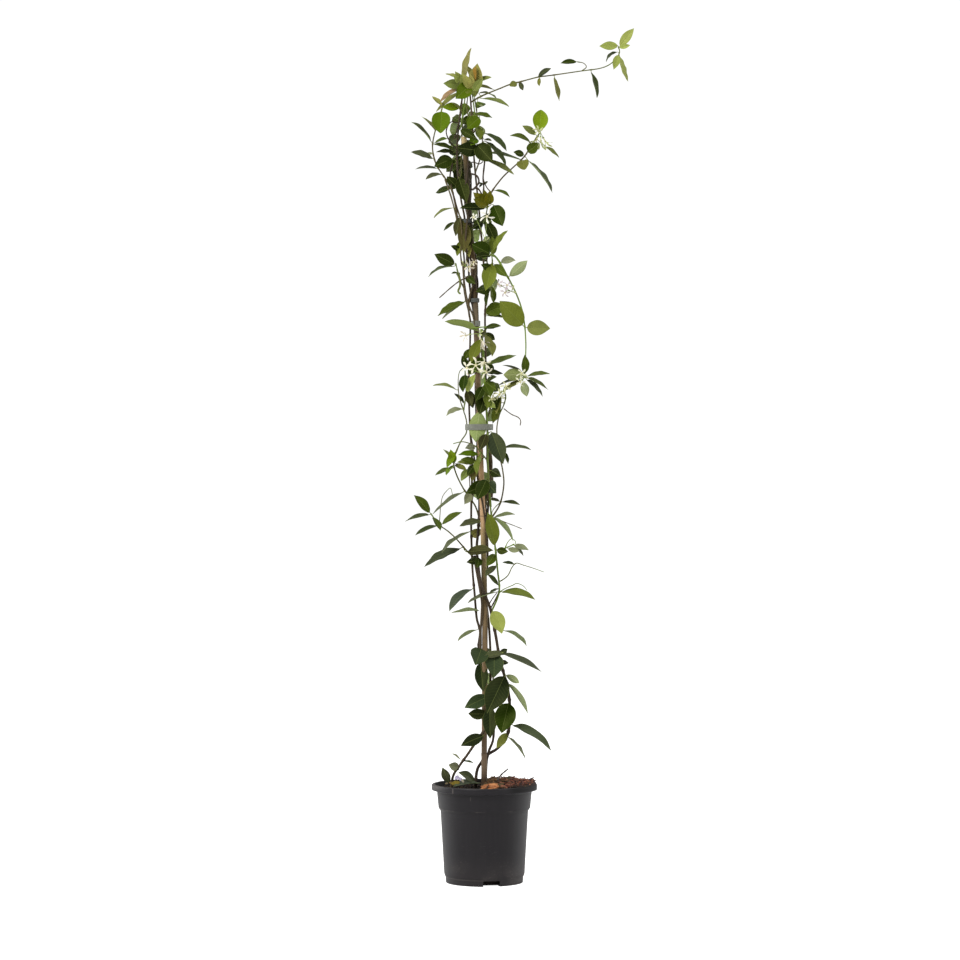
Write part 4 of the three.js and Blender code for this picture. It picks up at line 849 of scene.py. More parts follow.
def bamboo():
    """Weathered cane: dark in the shade of the leaves and tan where it is bare, with long streaks, stains,
    small spots and a brown scar at each joint."""
    finish = Finish("bamboo")
    z = finish.height()
    streaks = finish.mottle(1.3, 3.0, (1, 1, 0.02))
    fibre = finish.mottle(0.5, 3.0, (1, 1, 0.015))
    stain = finish.mottle(16, 4.0, (1, 1, 0.35)).between(0.42, 0.7)
    spots = 1 - finish.cells(9, (1, 1, 0.5)).between(0.05, 0.13)
    scar = finish.mark("scar")
    skin = finish.shade(finish.ramp(z * (1 / CANE_TOP), CANE_TONES), 0.78 + 0.44 * streaks)
    skin = finish.mix(skin, tone("#3f342a"), 0.45 * stain + 0.4 * spots)
    skin = finish.mix(skin, tone("#3a2d22"), 0.65 * scar)
    return finish.surface(
        Base_Color=skin,
        Roughness=0.42 + 0.2 * fibre + 0.2 * stain,
        Specular_IOR_Level=0.25,
        Specular_Tint=(1, 0.88, 0.65, 1),
        Normal=finish.relief(0.6 * fibre + 0.5 * streaks, 0.12),
    )


cane_shape = Shape()
stations = set(range(CANE_FOOT, CANE_TOP, CANE_STEP))
for joint in CANE_JOINTS:
    stations.update(joint + step for step in JOINT_STEPS)
stations = sorted(stations)
cane_rings = [cane_ring(z, cane_radius(z)) for z in stations]
cane_scars = [max(bell(z - joint - 1, 1.1) for joint in CANE_JOINTS) for z in stations]
for radius, z in CANE_END:
    cane_rings.append(cane_ring(z, radius))
    cane_scars.append(1.0 if z < CANE_TOP - 2 else 0.0)
cane_shape.skin(cane_rings, scar=[scar for scar in cane_scars for _ in range(CANE_SIDES)])
cane = cane_shape.made("cane", bamboo(), crease=50)
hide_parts("bamboo_cane")
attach(cane, "root")

# ---------------------------------------------------------------------------------- plant ties
# Soft PVC tape, bent round the cane and the stems beside it and welded into a loop. The broad tie is a pale
# grey band; of the three narrow ones the lowest is pale too and the upper two are almost black.
TIE_THICKNESS = 0.9
TIE_TURNS = 96
# The tape's section, from the middle of its inside over the outside: how far out, in thicknesses, and how
# high, as a share of its width.
TIE_SECTION = [
    (-0.05, 0.0), (0.2, -0.02), (0.75, -0.02), (0.95, 0.03), (1.0, 0.1), (0.98, 0.5), (1.0, 0.9),
    (0.95, 0.97), (0.75, 1.02), (0.2, 1.02), (-0.05, 1.0), (0.0, 0.9), (0.02, 0.5), (0.0, 0.1),
]
# What each tie replaces, the middle of its loop, the loop's inner half width and half depth, and its slot.
TIES = [
    ("tie_broad", (-8.4, -1), (21.6, 15.7), "tie_grey"),
    ("tie_grey", (-13.6, 3), (6.2, 8.7), "tie_grey"),
    ("tie_dark_low", (-17, 1.6), (8.2, 7.6), "tie_dark"),
    ("tie_dark_high", (-26.5, 2.4), (9.7, 9.2), "tie_dark"),
]


def tape(name, colour, dusty):
    """Soft dull plastic with fine ribs along the tape and a few whitened creases."""
    finish = Finish(name)
    ribs = finish.node("ShaderNodeTexWave", {"bands_direction": "Z"}, {0: finish.place(1.1), 1: 1.0}, "Fac")
    soft = finish.mottle(4, 3.0)
    creases = finish.mottle(2.2, 2.0, (1, 1, 0.4)).between(0.55, 0.7)
    return finish.surface(
        Base_Color=finish.mix(finish.mix(tone(colour), tone(dusty), soft), tone("#5b5c58"), 0.35 * creases),
        Roughness=0.5 + 0.2 * soft,
        Normal=finish.relief(0.5 * ribs + 0.6 * creases, 0.18),
    )


tapes = {
    "tie_grey": tape("tape_grey", "#5f6157", "#7b7d71"),
    "tie_dark": tape("tape_dark", "#343634", "#4c4f4c"),
}
for node, (x, y), (a, b), slot in TIES:
    low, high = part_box(node)
    bottom, top = low.z / MM, high.z / MM
    tie_shape = Shape()
    tie_rings = []
    for i in range(TIE_TURNS):
        angle = 2 * math.pi * i / TIE_TURNS
        wander = 0.35 * rough(5 * math.cos(angle), 5 * math.sin(angle), 3, bottom)
        ring = []
        for out, up in reversed(TIE_SECTION):
            thick = TIE_THICKNESS * out
            level = mixed(bottom + 0.4, top - 0.4, up) + wander
            ring.append(Vector((x + (a + thick) * math.cos(angle), y + (b + thick) * math.sin(angle), level)))
        tie_rings.append(ring)
    tie_shape.skin(tie_rings, loop=True)
    tie = tie_shape.made(node + "_tape", tapes[slot])
    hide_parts(node)
    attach(tie, "root")

# ---------------------------------------------------------------------------------- stems and leafy shoots
# Three woody stems twine up the cane from the soil, and a green runner, sprays and tufts grow from them.
# Leaves stand in pairs on short stalks: leathery, glossy above with a pale midrib, dull and paler below.
LEAF_ASPECT = 0.42
LEAF_FOLD = 0.28
LEAF_CURL = 0.03
LEAF_BOW = 0.55
LEAF_THICKNESS = 0.44
LEAF_COLUMNS = [-1, -0.87, -0.64, -0.36, -0.11, 0, 0.11, 0.36, 0.64, 0.87, 1]
BLADE_STEPS = 20
PETIOLE_SHARE = 0.09
PETIOLE_STEPS = 5
STEM_STEP = 3
STEM_SIDES = 12
TWIG_SIDES = 8
TWINE_STEP = 12
JOINT_REACH = 6
# The CAD cuts its stems into longer pieces than its twigs, and leans a leaf forward or back by one of the
# shifts where it would meet another. A leaf here takes the shift that puts its tip where the CAD has one.
CAD_STEM_STEP = 45
CAD_TWIG_STEP = 26
CAD_STEM_LEAST_RADIUS = 1.5
CAD_TIP_SLACK = 0.7
LEAF_SHIFTS = [0, -7, 7, -14, 14, -21, 21, -28, 28, -36, 36, -44, 44]
# The tones of leaves, by the letters that stand for them. Besides the green of old and young leaves, they
# carry painted shade in the darkest tones, painted light in the brightest and painted sheen in the grey and
# slate ones.
LEAF_TONES = {
    "k": "#1f280a", "d": "#25320a", "m": "#414f14", "b": "#5e7612", "y": "#8d964c", "l": "#6e773c",
    "o": "#6a6c32", "g": "#474b34", "s": "#2c3324", "p": "#7a7e61", "z": "#5b580c", "r": "#a07a58",
    "h": "#33321c", "n": "#4a600b", "v": "#616b24", "w": "#8e8a4a", "c": "#94702c", "j": "#151e09",
    "q": "#223404", "e": "#6a8012", "t": "#2b332b", "u": "#4c4524", "x": "#6c6830", "a": "#1b2413",
    "i": "#313e27",
}
# The tones of stems, by age.
STEM_TONES = [
    (0.0, "#70893a"), (0.2, "#606f34"), (0.42, "#565033"),
    (0.65, "#4e4330"), (0.85, "#40362a"), (1.0, "#382e27"),
]
# A shoot lists its age, from 0 for green to 1 for brown bark, the tone of each leaf, its twigs and its
# leaves. A twig is (radius at the root, radius at the tip, route). A leaf is (x and z where its blade
# starts, x and z of its tip, how far the tip leans back or, if negative, forward, the width that shows from
# the front, sideways bow). A minus sign on the width marks a leaf that shows its underside.
SHOOTS = [
    ("woody_stem_left", 0.85, "gppaiajmmnvsmmmnmjn", [
        (2, 1.3, (
            (-56, -2, 118), (-51, -4, 166), (-40, -6, 186), (-28, -8, 203), (-15, -9, 222),
            (-6, -10, 235), (4, -10, 250), (8, -6, 270), (9, 0, 300), (10, 4, 350), (8, 8, 400),
            (3, 9, 450), (-1, 9, 500), (3, 9, 550), (6, 7, 600), (10, 4, 640), (9, 3, 680), (5, 5, 720),
            (3, 7, 770), (2, 7, 820), (2, 6, 860), (1, 5, 900), (2, 5, 930), (1, 6, 960), (-2, 8, 1000),
            (-6, 8, 1050), (-10, 8, 1090), (-15, 7, 1140), (-18, 3, 1180), (-20, 0, 1220),
            (-22, -2, 1250), (-24, 0, 1270),
        )),
    ], [
        (-57, 160, -67, 185, -10, 14), (-42, 184, -57, 189, -14, 14), (-38, 196, -52, 207, -8, 3),
        (-2, 234, -38, 220, -20, 19, 0.05), (5, 297, -32, 280, -18, 22), (12, 283, 9, 230, -20, 23),
        (4, 269, -26, 269, 16, 18), (3, 910, 30, 922, -20, 20), (-14, 1229, 13, 1221, -10, 9),
        (-18, 1225, -22, 1200, -16, 20), (-13, 1212, -8, 1183, -24, 12), (-33, 194, -17, 191, -6, 4),
        (4, 906, 32, 903, -12, 7), (3, 915, 36, 918, -24, 22), (8, 907, 30, 902, -18, 8),
        (-8, 1222, -28, 1203, -20, 20), (-10, 1205, -5, 1184, -22, 13), (-3, 1056, -21, 1043, -26, 15),
        (-13, 1190, -22, 1176, -24, 15),
    ]),
    ("woody_stem_right", 1.0, "gtiqoasigspykgxdkkemppggsodkdd", [
        (2.4, 1.3, (
            (-16, 4, 105), (-13, 8, 170), (-5, 10, 190), (6, 9, 203), (22, 5, 214), (36, 0, 233),
            (41, -2, 262), (39, -2, 300), (32, -2, 330), (24, 0, 360), (18, 2, 395), (10, -3, 435),
            (3, -9, 455), (-6, -10, 480), (-12, -3, 530), (-10, 7, 560), (-8, 9, 600), (-9, 9, 650),
            (-10, 8, 700), (-13, 8, 750), (-14, 8, 800), (-14, 9, 850), (-15.5, 8, 895), (-20, 6.2, 930),
            (-24, 6, 960), (-26, 6, 1000), (-30, 6, 1040), (-32, 6, 1065), (-37, 7, 1090),
            (-41, 6, 1120), (-44, 4, 1160), (-42, 2, 1200), (-38, 0, 1235), (-34, 0, 1265),
        )),
    ], [
        (-16, 160, -42, 177, -26, 13, 0.06), (-8, 158, -50, 155, -40, 9),
        (42, 256, 108, 210, -12, 17, 0.08), (39, 293, 27, 240, -22, 34), (37, 240, 19, 215, -16, 14),
        (32, 329, 4, 272, -30, 38), (28, 366, 93, 336, -14, 13, -0.03), (16, 365, 15, 329, -40, 30),
        (19, 366, 0, 358, 14, 10), (24, 364, 37, 372, 8, 10), (30, 402, 69, 375, 16, -9, 0.12),
        (13, 433, 28, 398, -26, 24, 0.08), (-9, 515, -29, 512, -20, 12), (-5, 578, -40, 569, -14, 13),
        (-5, 563, -22, 552, 20, 15), (-52, 1157, -80, 1143, -20, 22), (-50, 1168, -78, 1169, 10, 9),
        (-41, 1135, -28, 1084, -24, 21), (-39, 1240, -68, 1238, -10, 14),
        (-48, 1172, -82, 1178, -18, 10), (37, 326, 70, 269, -14, -11), (35, 331, 56, 319, -16, -11),
        (30, 366, -2, 360, -22, 11), (37, 233, 65, 198, -10, 4), (25, 352, 39, 351, -12, 8),
        (-34, 1229, -52, 1246, -12, 6), (-38, 1203, -12, 1188, -14, 14), (-46, 1114, -60, 1128, -12, 15),
        (-50, 1149, -71, 1157, -16, 12), (-8, 518, -12, 503, -20, 13),
    ]),
    ("woody_stem_middle", 0.9, "aipptgdmgoddughmdvhkwdm", [
        (2, 1.2, (
            (2, 9, 105), (3, 9, 180), (7, 2, 208), (14, 0, 228), (15, 3, 258), (11, 8, 285),
            (-1, 9, 325), (-9, 7, 372), (-7, 8, 400), (-12, 6, 420), (-14, 4, 440), (-16, 1, 465),
            (-19, 2, 500), (-21, 2, 560), (-21, 2, 600), (-20, 3, 640), (-20, 2, 680), (-23, 0, 727),
            (-25, 0, 780), (-25, 1, 820), (-23, 2, 860), (-23, 1, 900), (-28, 1, 925), (-32, 1, 945),
            (-33, 1, 965), (-32, 0, 990), (-35, -1, 1020), (-41, -2, 1050), (-46, -2, 1080),
            (-52, 0, 1110),
        )),
    ], [
        (-5, 353, -2, 305, -24, 22), (-5, 373, -14, 349, -46, 30), (-6, 408, -43, 384, 12, -7, 0.02),
        (-9, 434, -53, 431, -18, -7), (-20, 468, -56, 433, -20, 13, 0.14),
        (-22, 561, -68, 527, -12, 8, 0.03), (-38, 1011, -54, 1017, -14, 9),
        (-33, 930, -75, 905, -10, 15), (-35, 925, -68, 901, 14, 8), (-50, 1078, -81, 1060, -12, 7, 0.1),
        (-48, 1055, -66, 1042, 12, 7), (-54, 1110, -79, 1105, -16, 12), (-34, 1057, -33, 1005, -22, 22),
        (5, 374, 14, 352, -12, 7), (-25, 786, -18, 757, -16, 16), (-22, 852, -34, 834, -14, 12),
        (-30, 968, -14, 956, -14, 12), (-36, 1030, -44, 1000, -8, 12), (-38, 1064, -46, 1032, -8, 13),
        (-28, 1052, -24, 1016, -12, 15), (-31, 1026, -24, 998, -14, 13), (-27, 822, -36, 842, -14, 12),
        (-24, 812, -12, 834, -16, 14),
    ]),
    ("green_runner", 0.1, "vdgmvpdidkshlmkdvmvoldkhshldkmmd", [
        (1.4, 1.1, (
            (11, -2, 432), (20, -4, 452), (24, -7, 470), (21, -9, 500), (18, -10, 530), (14, -11, 560),
            (11, -12, 585), (8, -13, 625), (6, -12, 660), (6, -10, 700), (5, -7, 727), (4, -9, 752),
            (1, -12, 775), (0, -13, 810), (-2, -13, 850), (-4, -12, 884),
        )),
        (0.8, 0.5, (
            (22, -6, 461), (30, -9, 468), (45, -12, 475), (52, -12, 478), (62, -10, 474), (68, -8, 467),
        )),
    ], [
        (24, 466, 82, 452, -20, 15, 0.06), (22, 473, 4, 493, -12, 8), (18, 506, 1, 489, -20, 11),
        (18, 525, 3, 506, -26, 14), (17, 533, 5, 592, -16, 21), (15, 583, 50, 588, 16, -8),
        (6, 640, -30, 622, -26, 22), (5, 638, 19, 622, -34, 22), (3, 643, -12, 611, -40, 22),
        (11, 658, 27, 648, -34, 16), (12, 719, 30, 668, -22, 28), (3, 716, -8, 690, -26, 16),
        (-8, 751, -14, 703, 3, -29), (5, 828, 52, 842, -14, 12, -0.1), (5, 815, 30, 813, 14, 9),
        (4, 802, 20, 807, -22, 9), (0, 790, 5, 755, -26, 12), (1, 798, 10, 774, -38, 16),
        (-5, 868, -22, 828, -18, 18), (2, 875, 12, 838, -24, 15), (-8, 882, -64, 896, -14, 13),
        (0, 885, 27, 888, -16, 9), (2, 878, 17, 867, 12, 11), (22, 468, -28, 446, -14, 3),
        (23, 470, 7, 461, -12, 5), (-5, 868, 4, 884, -14, 8), (0, 772, 18, 757, -20, 15),
        (-2, 792, -14, 768, -20, 15), (-1, 778, -8, 748, -16, 22), (2, 800, 19, 786, -16, 13),
        (-1, 838, -22, 816, 20, 18), (0, 832, 14, 812, 18, 16),
    ]),
    ("low_right_sprig", 0.1, "dpps", [
        (1, 0.7, ((18, -10, 531), (30, -8, 533), (40, -9, 537), (48, -10, 541))),
        (0.7, 0.5, ((33, -8, 534), (37, -5, 543), (43, -4, 549), (49, -5, 546), (50, -9, 541))),
    ], [
        (20, 531, 38, 529, -16, 12), (38, 533, 57, 530, -10, 9), (48, 540, 71, 531, -10, 10),
        (49, 537, 63, 521, 8, 6),
    ]),
    ("low_right_tendril", 0.3, "i", [
        (0.9, 0.5, (
            (22.5, -8, 480), (30, -6, 484), (38, -4, 491), (44, -3, 503), (51, -2, 510), (62, -2, 507),
            (78, -3, 502), (95, -4, 496),
        )),
    ], [
        (49, 509, 28, 511, 8, 6),
    ]),
    ("low_left_spray", 0.35, "hsmmddm", [
        (1.2, 0.8, (
            (-20, 2, 522), (-30, -5, 532), (-45, -6, 549), (-58, -4, 561), (-68, -2, 568), (-73, 0, 574),
            (-82, 2, 584), (-86, 2, 590),
        )),
        (0.7, 0.5, (
            (-72, 0, 573), (-71, -3, 587), (-70, -5, 600), (-67, -6, 616), (-60, -7, 626),
            (-54, -7, 630), (-51, -7, 620),
        )),
    ], [
        (-27, 528, 15, 531, -24, 17), (-31, 531, -96, 504, -16, 17), (-68, 573, -35, 592, -14, 12),
        (-86, 592, -113, 619, -14, 15), (-88, 590, -128, 576, 12, 9), (-76, 570, -111, 554, -10, 9),
        (-84, 584, -70, 562, -26, 10),
    ]),
    ("right_climber", 0.45, "gdgddovd", [
        (1.2, 0.9, (
            (12, -11.5, 583), (25, -9, 605), (31, -7, 635), (29, -6, 660), (24, -8, 682), (21, -10, 705),
            (20, -11, 727), (24, -11, 747), (31, -10, 763), (34, -9, 776), (31, -9, 788),
        )),
    ], [
        (14, 583, 46, 545, -12, -8, 0.05), (27, 608, 57, 603, -14, 7), (25, 607, 6, 613, 14, 6),
        (24, 694, 75, 691, -14, 8, 0.06), (29, 690, 38, 668, -12, 8), (26, 776, 19, 748, -22, 11),
        (26, 765, 13, 733, 10, 13), (22, 775, 13, 752, -20, 15),
    ]),
    ("left_climber", 0.35, "gpemlbopldyqbhp", [
        (1.2, 0.9, (
            (-8.5, 8.6, 583), (-14, 10, 600), (-23, 9, 614), (-34, 4, 630), (-44, 0, 650),
            (-49, -2, 668), (-46, -3, 685), (-38, -3, 704), (-29.5, -1.5, 717), (-28, -1, 727),
            (-28.6, -2, 737), (-31, -3, 747), (-33, -4, 754), (-31, -6, 768), (-29, -7, 785),
            (-30, -7, 802), (-31, -6, 818),
        )),
        (0.8, 0.6, ((-33, -4, 754), (-40, -7, 775), (-42, -8, 798), (-40, -9, 815), (-34, -10, 822))),
    ], [
        (-33, 625, -83, 588, -16, 9), (-22, 622, -32, 604, -22, 14), (-49, 670, -54, 692, -14, 14),
        (-50, 664, -79, 650, -10, 8), (-49, 671, -67, 693, 12, 6), (-49, 667, -61, 650, -26, 8),
        (-47, 667, -28, 658, -16, 8), (-34, 757, -61, 745, -10, 9, 0.15),
        (-40, 784, -83, 793, -12, 8, 0.1), (-33, 764, -49, 782, 14, 7), (-29, 783, -14, 812, -18, 13),
        (-31, 812, -34, 782, -26, 15), (-47, 687, -60, 662, -14, 12), (-28, 786, -20, 760, -12, 14),
        (-46, 669, -31, 660, -6, 7),
    ]),
    ("front_sprig", 0.3, "npldlvmum", [
        (1, 0.7, (
            (6, -12, 672), (0, -14, 680), (-8, -14, 690), (-16, -13, 698), (-34, -11, 704),
            (-50, -10, 701),
        )),
        (0.9, 0.6, ((0, -14, 680), (-8, -14, 672), (-17, -13, 667), (-26, -12, 661))),
    ], [
        (-10, 684, -42, 683, -12, 11), (-14, 697, -31, 693, -26, 11), (-17, 668, -44, 671, -10, 8),
        (-17, 666, -28, 650, -22, 12), (-27, 660, -37, 641, -14, 12), (-8, 687, -12, 652, -24, 11),
        (-14, 672, -38, 676, -14, 11), (-16, 668, -20, 640, -18, 13), (-22, 657, -38, 643, -18, 10),
    ]),
    ("right_arch", 0.05, "vlppmmmdpokosv", [
        (1.4, 0.9, (
            (-2, 8, 998), (7, 8, 1003), (17, 2, 1001), (27, -3, 987), (36, -5, 970), (43, -6, 957),
            (52, -7, 938), (60, -8, 915), (64, -8, 893), (66, -8, 868), (66, -8, 845), (64, -9, 822),
            (65, -10, 806),
        )),
    ], [
        (61, 889, 24, 928, -18, 34), (68, 887, 105, 884, -16, 25), (24, 992, 50, 993, -12, 12, 0.2),
        (39, 968, 69, 993, -14, -17), (66, 810, 64, 843, -16, 13), (69, 809, 105, 812, -10, 9),
        (69, 806, 103, 787, 14, 9), (68, 803, 94, 776, -12, 9), (62, 799, 68, 776, -20, -14),
        (62, 812, 30, 810, -16, -20), (60, 815, 28, 827, 14, 6), (60, 802, 30, 784, -10, 9),
        (56, 804, 20, 793, 16, 7), (14, 1004, 12, 1032, -20, 14),
    ]),
    ("front_tuft", 0.3, "vddmqkvmd", [
        (1.1, 0.8, (
            (2, 5.5, 936), (9, 0, 948), (12, -6, 962), (13, -10, 985), (12, -11, 1000), (10, -12, 1012),
        )),
    ], [
        (10, 991, 2, 944, -20, 24), (9, 949, -14, 943, -22, 17), (7, 948, 4, 920, -16, 9),
        (12, 953, 15, 926, 12, 10), (10, 1003, -20, 1018, -16, 26), (9, 1001, -14, 996, -32, 12),
        (15, 1006, 38, 1041, -14, 12), (16, 987, 36, 966, -16, 14), (12, 978, -6, 986, -18, 12),
    ]),
    ("left_sprig", 0.3, "ddd", [
        (1.1, 0.8, ((-32.5, 1, 950), (-38, -4, 961), (-42, -6, 973), (-46, -7, 990))),
        (2, 1.4, ((-42, -6, 973), (-39, -10, 962), (-39, -12, 952), (-42, -13, 944), (-38, -13, 940))),
    ], [
        (-48, 988, -80, 1003, -14, 19), (-48, 986, -90, 966, -10, 8, 0.15), (-42, 974, -53, 972, -10, 4),
    ]),
    ("high_front_tuft", 0.3, "qzzjdkzkz", [
        (1.1, 0.8, ((-7, 8, 1050), (-1, 3, 1060), (3, -5, 1069), (5, -11, 1080))),
    ], [
        (15, 1081, 29, 1046, -24, 26), (6, 1082, 9, 1103, -26, 16), (4, 1080, -18, 1090, -24, 15),
        (2, 1077, -40, 1076, -10, 15), (0, 1061, -18, 1050, -20, 10), (2, 1060, 20, 1018, -16, 18),
        (6, 1081, -18, 1100, -26, 18), (0, 1064, 14, 1060, -16, 14), (2, 1080, 0, 1104, -28, 15),
    ]),
    ("upper_right_shoot", 0.6, "modmdmlelshs", [
        (1.3, 0.9, (
            (-9, 8, 1078), (2, 6, 1090), (11, 2, 1103), (17, 0, 1112), (30, -2, 1128), (45, -3, 1142),
            (57, -3, 1153), (66, -3, 1163), (73, -4, 1175), (81, -5, 1187), (88, -5, 1197),
        )),
        (0.9, 0.7, ((11, 2, 1103), (3, 5, 1113), (-2, 3, 1128), (0, 1, 1148))),
    ], [
        (14, 1106, 41, 1094, -10, 8, 0.1), (60, 1155, 64, 1137, -18, 20), (63, 1163, 46, 1166, -14, 11),
        (68, 1165, 87, 1180, -14, 18), (70, 1154, 109, 1100, -12, 8),
        (76, 1183, 40, 1192, -10, 10, 0.12), (82, 1195, 60, 1208, -12, 11),
        (88, 1203, 91, 1236, -12, 25), (98, 1176, 120, 1159, 10, 8), (-1, 1117, -12, 1116, -12, 4),
        (0, 1116, 6, 1120, -12, 4), (-2, 1118, -8, 1110, -10, 4),
    ]),
    ("upper_middle_shoot", 0.5, "jkddods", [
        (1.1, 0.8, ((-14.5, 7, 1136), (-9, 0, 1150), (-5, -7, 1165), (-3, -8, 1185), (-3, -7, 1205))),
    ], [
        (-9, 1169, -45, 1172, -18, 24), (-12, 1178, 13, 1149, -24, 28),
        (-1, 1204, 36, 1166, -14, 11, 0.06), (2, 1184, 35, 1143, -16, 12), (0, 1155, 48, 1130, -10, 10),
        (5, 1166, 60, 1155, 12, 7), (0, 1187, 12, 1183, -12, 5),
    ]),
    ("left_top_spray", 0.45, "gsgpdomnw", [
        (1.2, 0.9, (
            (-50, -0.5, 1100), (-57, -1, 1117), (-68, -2, 1133), (-78, -2, 1150), (-83, -2, 1175),
            (-79, -2, 1200), (-72, -2, 1222), (-67, -2, 1240),
        )),
    ], [
        (-68, 1131, -94, 1122, -12, 8, 0.15), (-76, 1141, -112, 1141, 12, 6),
        (-80, 1153, -118, 1166, -12, 12), (-82, 1165, -98, 1163, 14, 6),
        (-84, 1180, -118, 1215, -10, 7, 0.05), (-78, 1202, -101, 1226, 12, 8),
        (-81, 1183, -58, 1186, -16, 9), (-68, 1238, -70, 1195, -20, 30), (-68, 1242, -84, 1258, 10, 8),
    ]),
    ("left_crown_shoot", 0.3, "xyylrzryy", [
        (1.1, 0.9, ((-34.5, 0, 1262), (-33, -1, 1272), (-32, -2, 1282))),
    ], [
        (-31, 1274, -21, 1334, -8, 13), (-36, 1283, -63, 1294, 10, 7), (-35, 1279, -47, 1295, -14, 10),
        (-34, 1272, -66, 1276, -12, 16), (-36, 1270, -70, 1248, -14, 10), (-34, 1265, -78, 1233, 14, 9),
        (-36, 1271, -71, 1244, -22, 9), (-32, 1268, -36, 1292, -16, 12), (-33, 1274, -50, 1288, -18, 12),
    ]),
    ("right_crown_shoot", 0.3, "wlonwcwvlw", [
        (1.1, 0.9, ((-23.6, 0, 1266), (-21, -2, 1275), (-18, -3, 1284))),
    ], [
        (-16, 1268, -11, 1308, -12, 22), (-15, 1279, 12, 1286, -10, 9), (-18, 1274, 17, 1268, 10, 8),
        (-19, 1275, -46, 1250, -20, 25), (-20, 1283, -28, 1308, 12, 9), (-16, 1276, -13, 1303, -18, 9),
        (-20, 1268, -22, 1290, -16, 12), (-19, 1260, -31, 1262, -14, 8), (-18, 1264, -2, 1284, -18, 13),
        (-22, 1268, -34, 1290, -18, 14),
    ]),
    ("top_whip", 0.4, "vpogsoddyysyyoyp", [
        (1.2, 0.8, (
            (-21.8, -2, 1247), (-12, -3, 1253), (0, -3, 1259), (20, -4, 1267), (45, -4, 1277),
            (55, -4, 1279), (85, -4, 1287), (100, -4, 1289), (115, -4, 1291), (150, -5, 1296),
            (165, -5, 1298), (185, -5, 1301), (200, -5, 1307), (211, -5, 1317), (216, -5, 1327),
            (214, -5, 1336),
        )),
        (0.8, 0.6, ((156, -5, 1297), (163, -7, 1303), (158, -8, 1309), (148, -8, 1311))),
    ], [
        (-12, 1252, 40, 1238, -12, 8, 0.02), (-8, 1262, 22, 1252, 12, 4, 0.2),
        (53, 1279, 40, 1271, -12, 11), (56, 1280, 62, 1267, 10, 8), (86, 1288, 107, 1300, -10, 9),
        (112, 1289, 120, 1247, -8, 10, -0.1), (147, 1311, 121, 1307, -10, 10),
        (168, 1297, 180, 1252, -8, 11), (214, 1337, 239, 1364, -8, 15), (213, 1337, 183, 1335, -10, 14),
        (212, 1327, 195, 1312, 10, 6, 0.2), (213, 1324, 206, 1297, -12, 12),
        (217, 1322, 231, 1280, 8, 11, -0.15), (88, 1286, 88, 1271, -8, 6), (216, 1334, 233, 1337, -8, 8),
        (-8, 1242, -2, 1240, -8, 3),
    ]),
    ("back_shoot_low", 0.4, "dmdd", [
        (1.2, 0.8, ((9, 0.5, 305), (14, 10, 318), (12, 15, 345), (5, 16, 372))),
    ], [
        (14, 318, 28, 292, 46, 26), (12, 330, -6, 320, 46, 22), (11, 350, 26, 342, 44, 22),
        (6, 372, -4, 360, 44, 18),
    ]),
    ("back_shoot_lower_middle", 0.4, "mdmdm", [
        (1.2, 0.8, ((3, 9, 552), (7, 16, 570), (5, 19, 600), (-2, 19, 628), (-6, 18, 655))),
    ], [
        (6, 575, 14, 552, 46, 18), (2, 608, 12, 632, 46, 18), (-1, 628, -20, 618, 42, 20),
        (-5, 650, -22, 662, 40, 18), (-5, 656, 4, 640, 46, 20),
    ]),
    ("back_shoot_middle", 0.4, "dmdmd", [
        (1.2, 0.8, ((4, 6.5, 740), (9, 13, 756), (8, 18, 785), (1, 19, 815), (-4, 18, 840), (-5, 17, 868))),
    ], [
        (9, 760, 16, 738, 44, 22), (8, 785, 22, 800, 42, 20), (1, 812, -16, 800, 44, 22),
        (-4, 840, 12, 856, 44, 18), (-5, 866, -20, 846, 42, 20),
    ]),
    ("back_shoot_upper_middle", 0.4, "mdmbmd", [
        (1.2, 0.8, (
            (1.5, 6, 952), (6, 14, 968), (4, 18, 995), (-3, 19, 1022), (-8, 18, 1050), (-12, 17, 1078),
        )),
    ], [
        (6, 970, 18, 950, 42, 18), (4, 995, -10, 1012, 44, 20), (-3, 1022, 12, 1032, 40, 18),
        (-8, 1048, -22, 1030, 42, 20), (-9, 1060, 12, 1062, 42, 20), (-12, 1078, -26, 1066, 40, 18),
    ]),
    ("back_shoot_high", 0.4, "dmmdmbdkdkmkdkdkmm", [
        (1.2, 0.8, ((-41, 6, 1122), (-38, 13, 1140), (-36, 16, 1170), (-36, 15, 1200), (-34, 12, 1228))),
    ], [
        (-38, 1142, -22, 1158, 44, 20), (-37, 1150, -56, 1158, 44, 20), (-36, 1180, -54, 1170, 42, 22),
        (-36, 1200, -20, 1212, 42, 20), (-35, 1212, -56, 1208, 42, 20), (-34, 1228, -30, 1252, 36, 18),
        (-38, 1166, -50, 1136, 20, 20), (-36, 1152, -42, 1120, 24, 20), (-40, 1158, -62, 1140, 24, 16),
        (-36, 1146, -20, 1122, 30, 14), (-37, 1170, -22, 1190, 30, 16), (-40, 1132, -28, 1106, 24, 18),
        (-40, 1128, -58, 1112, 24, 16), (-37, 1165, -58, 1177, 26, 16), (-36, 1196, -58, 1187, 30, 18),
        (-36, 1190, -16, 1177, 30, 16), (-35, 1215, -18, 1228, 30, 16), (-35, 1218, -52, 1228, 30, 16),
    ]),
    ("back_shoot_crown", 0.4, "lmby", [
        (1.1, 0.8, ((-19, 2, 1196), (-12, 10, 1210), (-12, 12, 1232), (-16, 11, 1256))),
    ], [
        (-12, 1212, -2, 1198, 40, 16), (-12, 1232, -26, 1226, 42, 18), (-13, 1240, 0, 1252, 36, 14),
        (-16, 1258, -14, 1284, 24, 14),
    ]),
]

